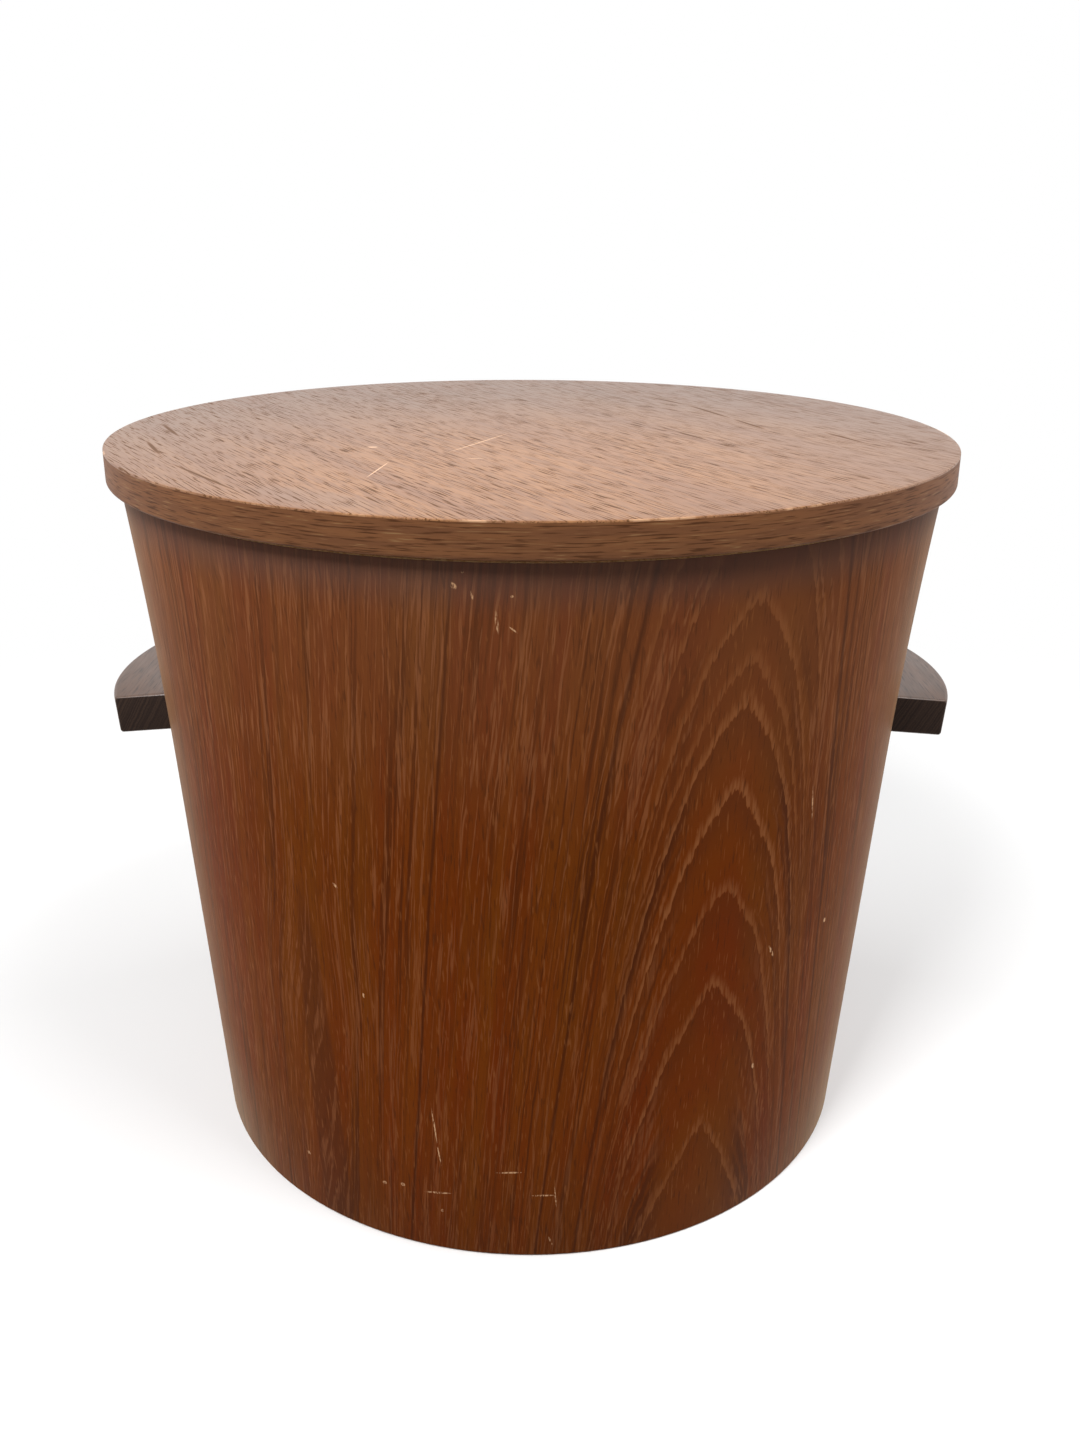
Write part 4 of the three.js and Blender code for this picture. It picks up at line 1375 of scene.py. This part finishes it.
foot_level = GAP + STRAP / 2
wrap = WIRE / 2 + GAP + STRAP / 2
fold_in = foot_level + STRAP_BEND
fold_up = wrap + STRAP_BEND
strap_outline = [(foot_level, -STRAP_FOOT)] + arc(fold_in, -fold_up, STRAP_BEND, 180, 90, 4)
strap_outline += arc(LOOP_STANDOFF, 0, wrap, -90, 90, 12)
strap_outline += arc(fold_in, fold_up, STRAP_BEND, -90, -180, 4) + [(foot_level, STRAP_FOOT)]
half_span = STRAP_WIDTH / 2 / liner_radius(LOOP_HEIGHT)

saddle = draw("saddle_front", strap_outline, closed=False)
bpy.ops.object.mode_set(mode="OBJECT")
put_on_liner(saddle, LOOPS["front"] + half_span)
bpy.ops.object.mode_set(mode="EDIT")
bpy.ops.mesh.select_all(action="SELECT")
bpy.ops.mesh.spin(steps=BEND_STEPS, angle=2 * half_span, center=(0, 0, 0), axis=(0, 0, 1))
close_up()

# A corner of the sheet is a vertex with only two edges
ends = [index for edge in saddle.data.edges for index in edge.vertices]
choose(saddle, "VERT", lambda vertex: ends.count(vertex.index) == 2)
bpy.ops.mesh.bevel(offset=STRAP_CORNER * MM, segments=4, affect="VERTICES")
bpy.ops.object.mode_set(mode="OBJECT")
modify(saddle, "SOLIDIFY", thickness=STRAP * MM, offset=0)
drill_for_rivets(saddle, LOOPS["front"])
ease(saddle, 0.25, angle=50)
print("saddle:", len(saddle.data.polygons), "faces")

# %% [markdown]
# A loop is one length of wire whose ends meet inside the saddle. A circle is extruded along each
# straight and spun round each corner, just as the wire was bent.

# %% Model the loops
LOOP_WIDTH = 60
LOOP_DROP = 34
LOOP_CORNER = 12
WIRE_BUTT = 1
WIRE_SIDES = 20

reach = LOOP_WIDTH / 2 - LOOP_CORNER
fall = LOOP_DROP - LOOP_CORNER
bar_half = reach - WIRE_BUTT / 2
bends = [  # straight before each corner, then the corner's centre
    ((0, bar_half, 0), (reach, -LOOP_CORNER)),
    ((0, 0, LOOP_CORNER - fall), (reach, -fall)),
    ((0, -2 * reach, 0), (-reach, -fall)),
    ((0, 0, fall - LOOP_CORNER), (-reach, -LOOP_CORNER)),
]


def draw_out(step):
    """Extrude the selected end of the wire."""
    bpy.ops.mesh.extrude_region_move(TRANSFORM_OT_translate={"value": [part * MM for part in step]})


start = {"location": (LOOP_STANDOFF * MM, WIRE_BUTT / 2 * MM, 0), "rotation": (math.pi / 2, 0, 0)}
section = {"vertices": WIRE_SIDES, "radius": WIRE / 2 * MM, "fill_type": "NGON"}
loop = begin("drop_loop_front", bpy.ops.mesh.primitive_circle_add, **section, **start)
bpy.ops.object.mode_set(mode="EDIT")
bpy.ops.mesh.select_all(action="SELECT")
for straight, (across, up) in bends:
    draw_out(straight)
    centre = (LOOP_STANDOFF * MM, across * MM, up * MM)
    bpy.ops.mesh.spin(steps=BEND_STEPS, angle=math.pi / 2, center=centre, axis=(1, 0, 0))
draw_out((0, bar_half, 0))
close_up()
ease(loop, 0.3, angle=60)
put_on_liner(loop, LOOPS["front"])
print("loop:", len(loop.data.polygons), "faces")

# %% [markdown]
# Four rivets hold the saddles. One is turned, with a domed head inside and a flattened tail outside, as
# the pattern for all of them.

# %% Model the rivets
RIVET_HEAD = 3.4
RIVET_RISE = 1.2
RIVET_TAIL = 0.9

rivet_seat = STRAP + 2 * GAP
rivet_back = -SHEET - GAP
rivet_outline = [(0, rivet_back - RIVET_TAIL), (RIVET_HEAD - RIVET_TAIL / 2, rivet_back - RIVET_TAIL)]
rivet_outline += [(RIVET_HEAD, rivet_back), (RIVET_SHANK, rivet_back), (RIVET_SHANK, rivet_seat)]
rivet = turn("rivet", rivet_outline + dome(RIVET_HEAD, rivet_seat, RIVET_RISE), SMALL)
ease(rivet, 0.2, angle=50)
print("rivet:", len(rivet.data.polygons), "faces")

# %% [markdown]
# ## Galvanised steel
#
# The liner is hot-dipped: zinc crystals a centimetre across catch the light differently, which gives the
# sheet its spangle. Coal leaves the inside dulled and smudged with black dust, most of all towards the
# bottom, so the inside and the cleaner outside are two materials from one recipe. The wire and rivets
# are plain grey steel.

# %% Galvanised sheet and steel wire
SPANGLE = 9
SMUDGE = 60
DUSTY = (330, 20)  # heights between which dust gathers, downwards


def galvanised_sheet(name, soot):
    """Spangled zinc under a share of coal dust."""
    material, tree, shader = new_material(name, Metallic=1)
    place = millimetres(tree)
    crystals = add(tree, "TexVoronoi", {"Vector": place, "Scale": 1 / SPANGLE})
    facet = add(tree, "SeparateXYZ", [crystals.outputs["Color"]])
    bright = layer(tree, "9a9ea0", "b2b5b6", facet)
    smudge = add(tree, "TexNoise", {"Vector": place, "Scale": 1 / SMUDGE, "Detail": 5})
    low = share(tree, (add(tree, "SeparateXYZ", [place]).outputs["Z"], *DUSTY))
    weight = add(tree, "Math", [low, 0.3, smudge], operation="MULTIPLY_ADD")
    dust = share(tree, (weight, 0.5, 0.95), soot)
    clean = add(tree, "MapRange", {"Value": facet, "To Min": 0.36, "To Max": 0.44})
    dulled = add(tree, "Math", [dust, 0.35, clean], operation="MULTIPLY_ADD")
    relief = add(tree, "Bump", {"Height": facet, "Strength": 0.1, "Distance": 0.03 * MM})
    tint = layer(tree, bright, "33312f", dust)
    feed(tree, shader, {"Base Color": tint, "Roughness": dulled, "Normal": relief})
    return material


sheet_steel = galvanised_sheet("galvanised_steel", 0.25)
sooty_steel = galvanised_sheet("sooty_galvanised_steel", 0.85)
wire_steel = worn_metal("drawn_steel_wire", "8d9092", "5f5f5c", 6, 0.3, 0.55)
print("steel: clean sheet, sooty sheet and wire")

# %% [markdown]
# Now the liner is dressed. The back saddle and loop are copies of the front ones, turned half round, and
# each rivet is a copy of the first, set through the wall.

# %% Dress the liner


def sooted(middle, normal):
    """Inside of the liner, and the upper side of its bottom."""
    return normal.z > UPRIGHT or normal.x * middle.x + normal.y * middle.y < 0


for piece, node in ((liner, "liner_wall"), (pan, "liner_bottom")):
    dress(piece, node, "liner", "galvanised_sheet", sheet_steel, sooty_steel)
    paint(piece, 1, sooted)
back_pair = copy_of(saddle, "saddle_back"), copy_of(loop, "drop_loop_back")
for piece in back_pair:
    put(piece, 0, 0, 0, heading=math.pi)
pairs = {"front": (saddle, loop), "back": back_pair}
for side, azimuth in LOOPS.items():
    strap, handle = pairs[side]
    dress(strap, f"liner_saddle_{side}", "liner", "galvanised_sheet", sheet_steel)
    dress(handle, f"liner_loop_{side}", f"loop_{side}", "steel_wire", wire_steel)
    for level, along in (("lower", -RIVET_OFFSET), ("upper", RIVET_OFFSET)):
        fixing = copy_of(rivet, f"rivet_{side}_{level}")
        put_on_liner(fixing, azimuth, along, math.pi / 2)
        dress(fixing, f"liner_rivet_{side}_{level}", "liner", "steel_wire", wire_steel)
bpy.data.objects.remove(rivet)
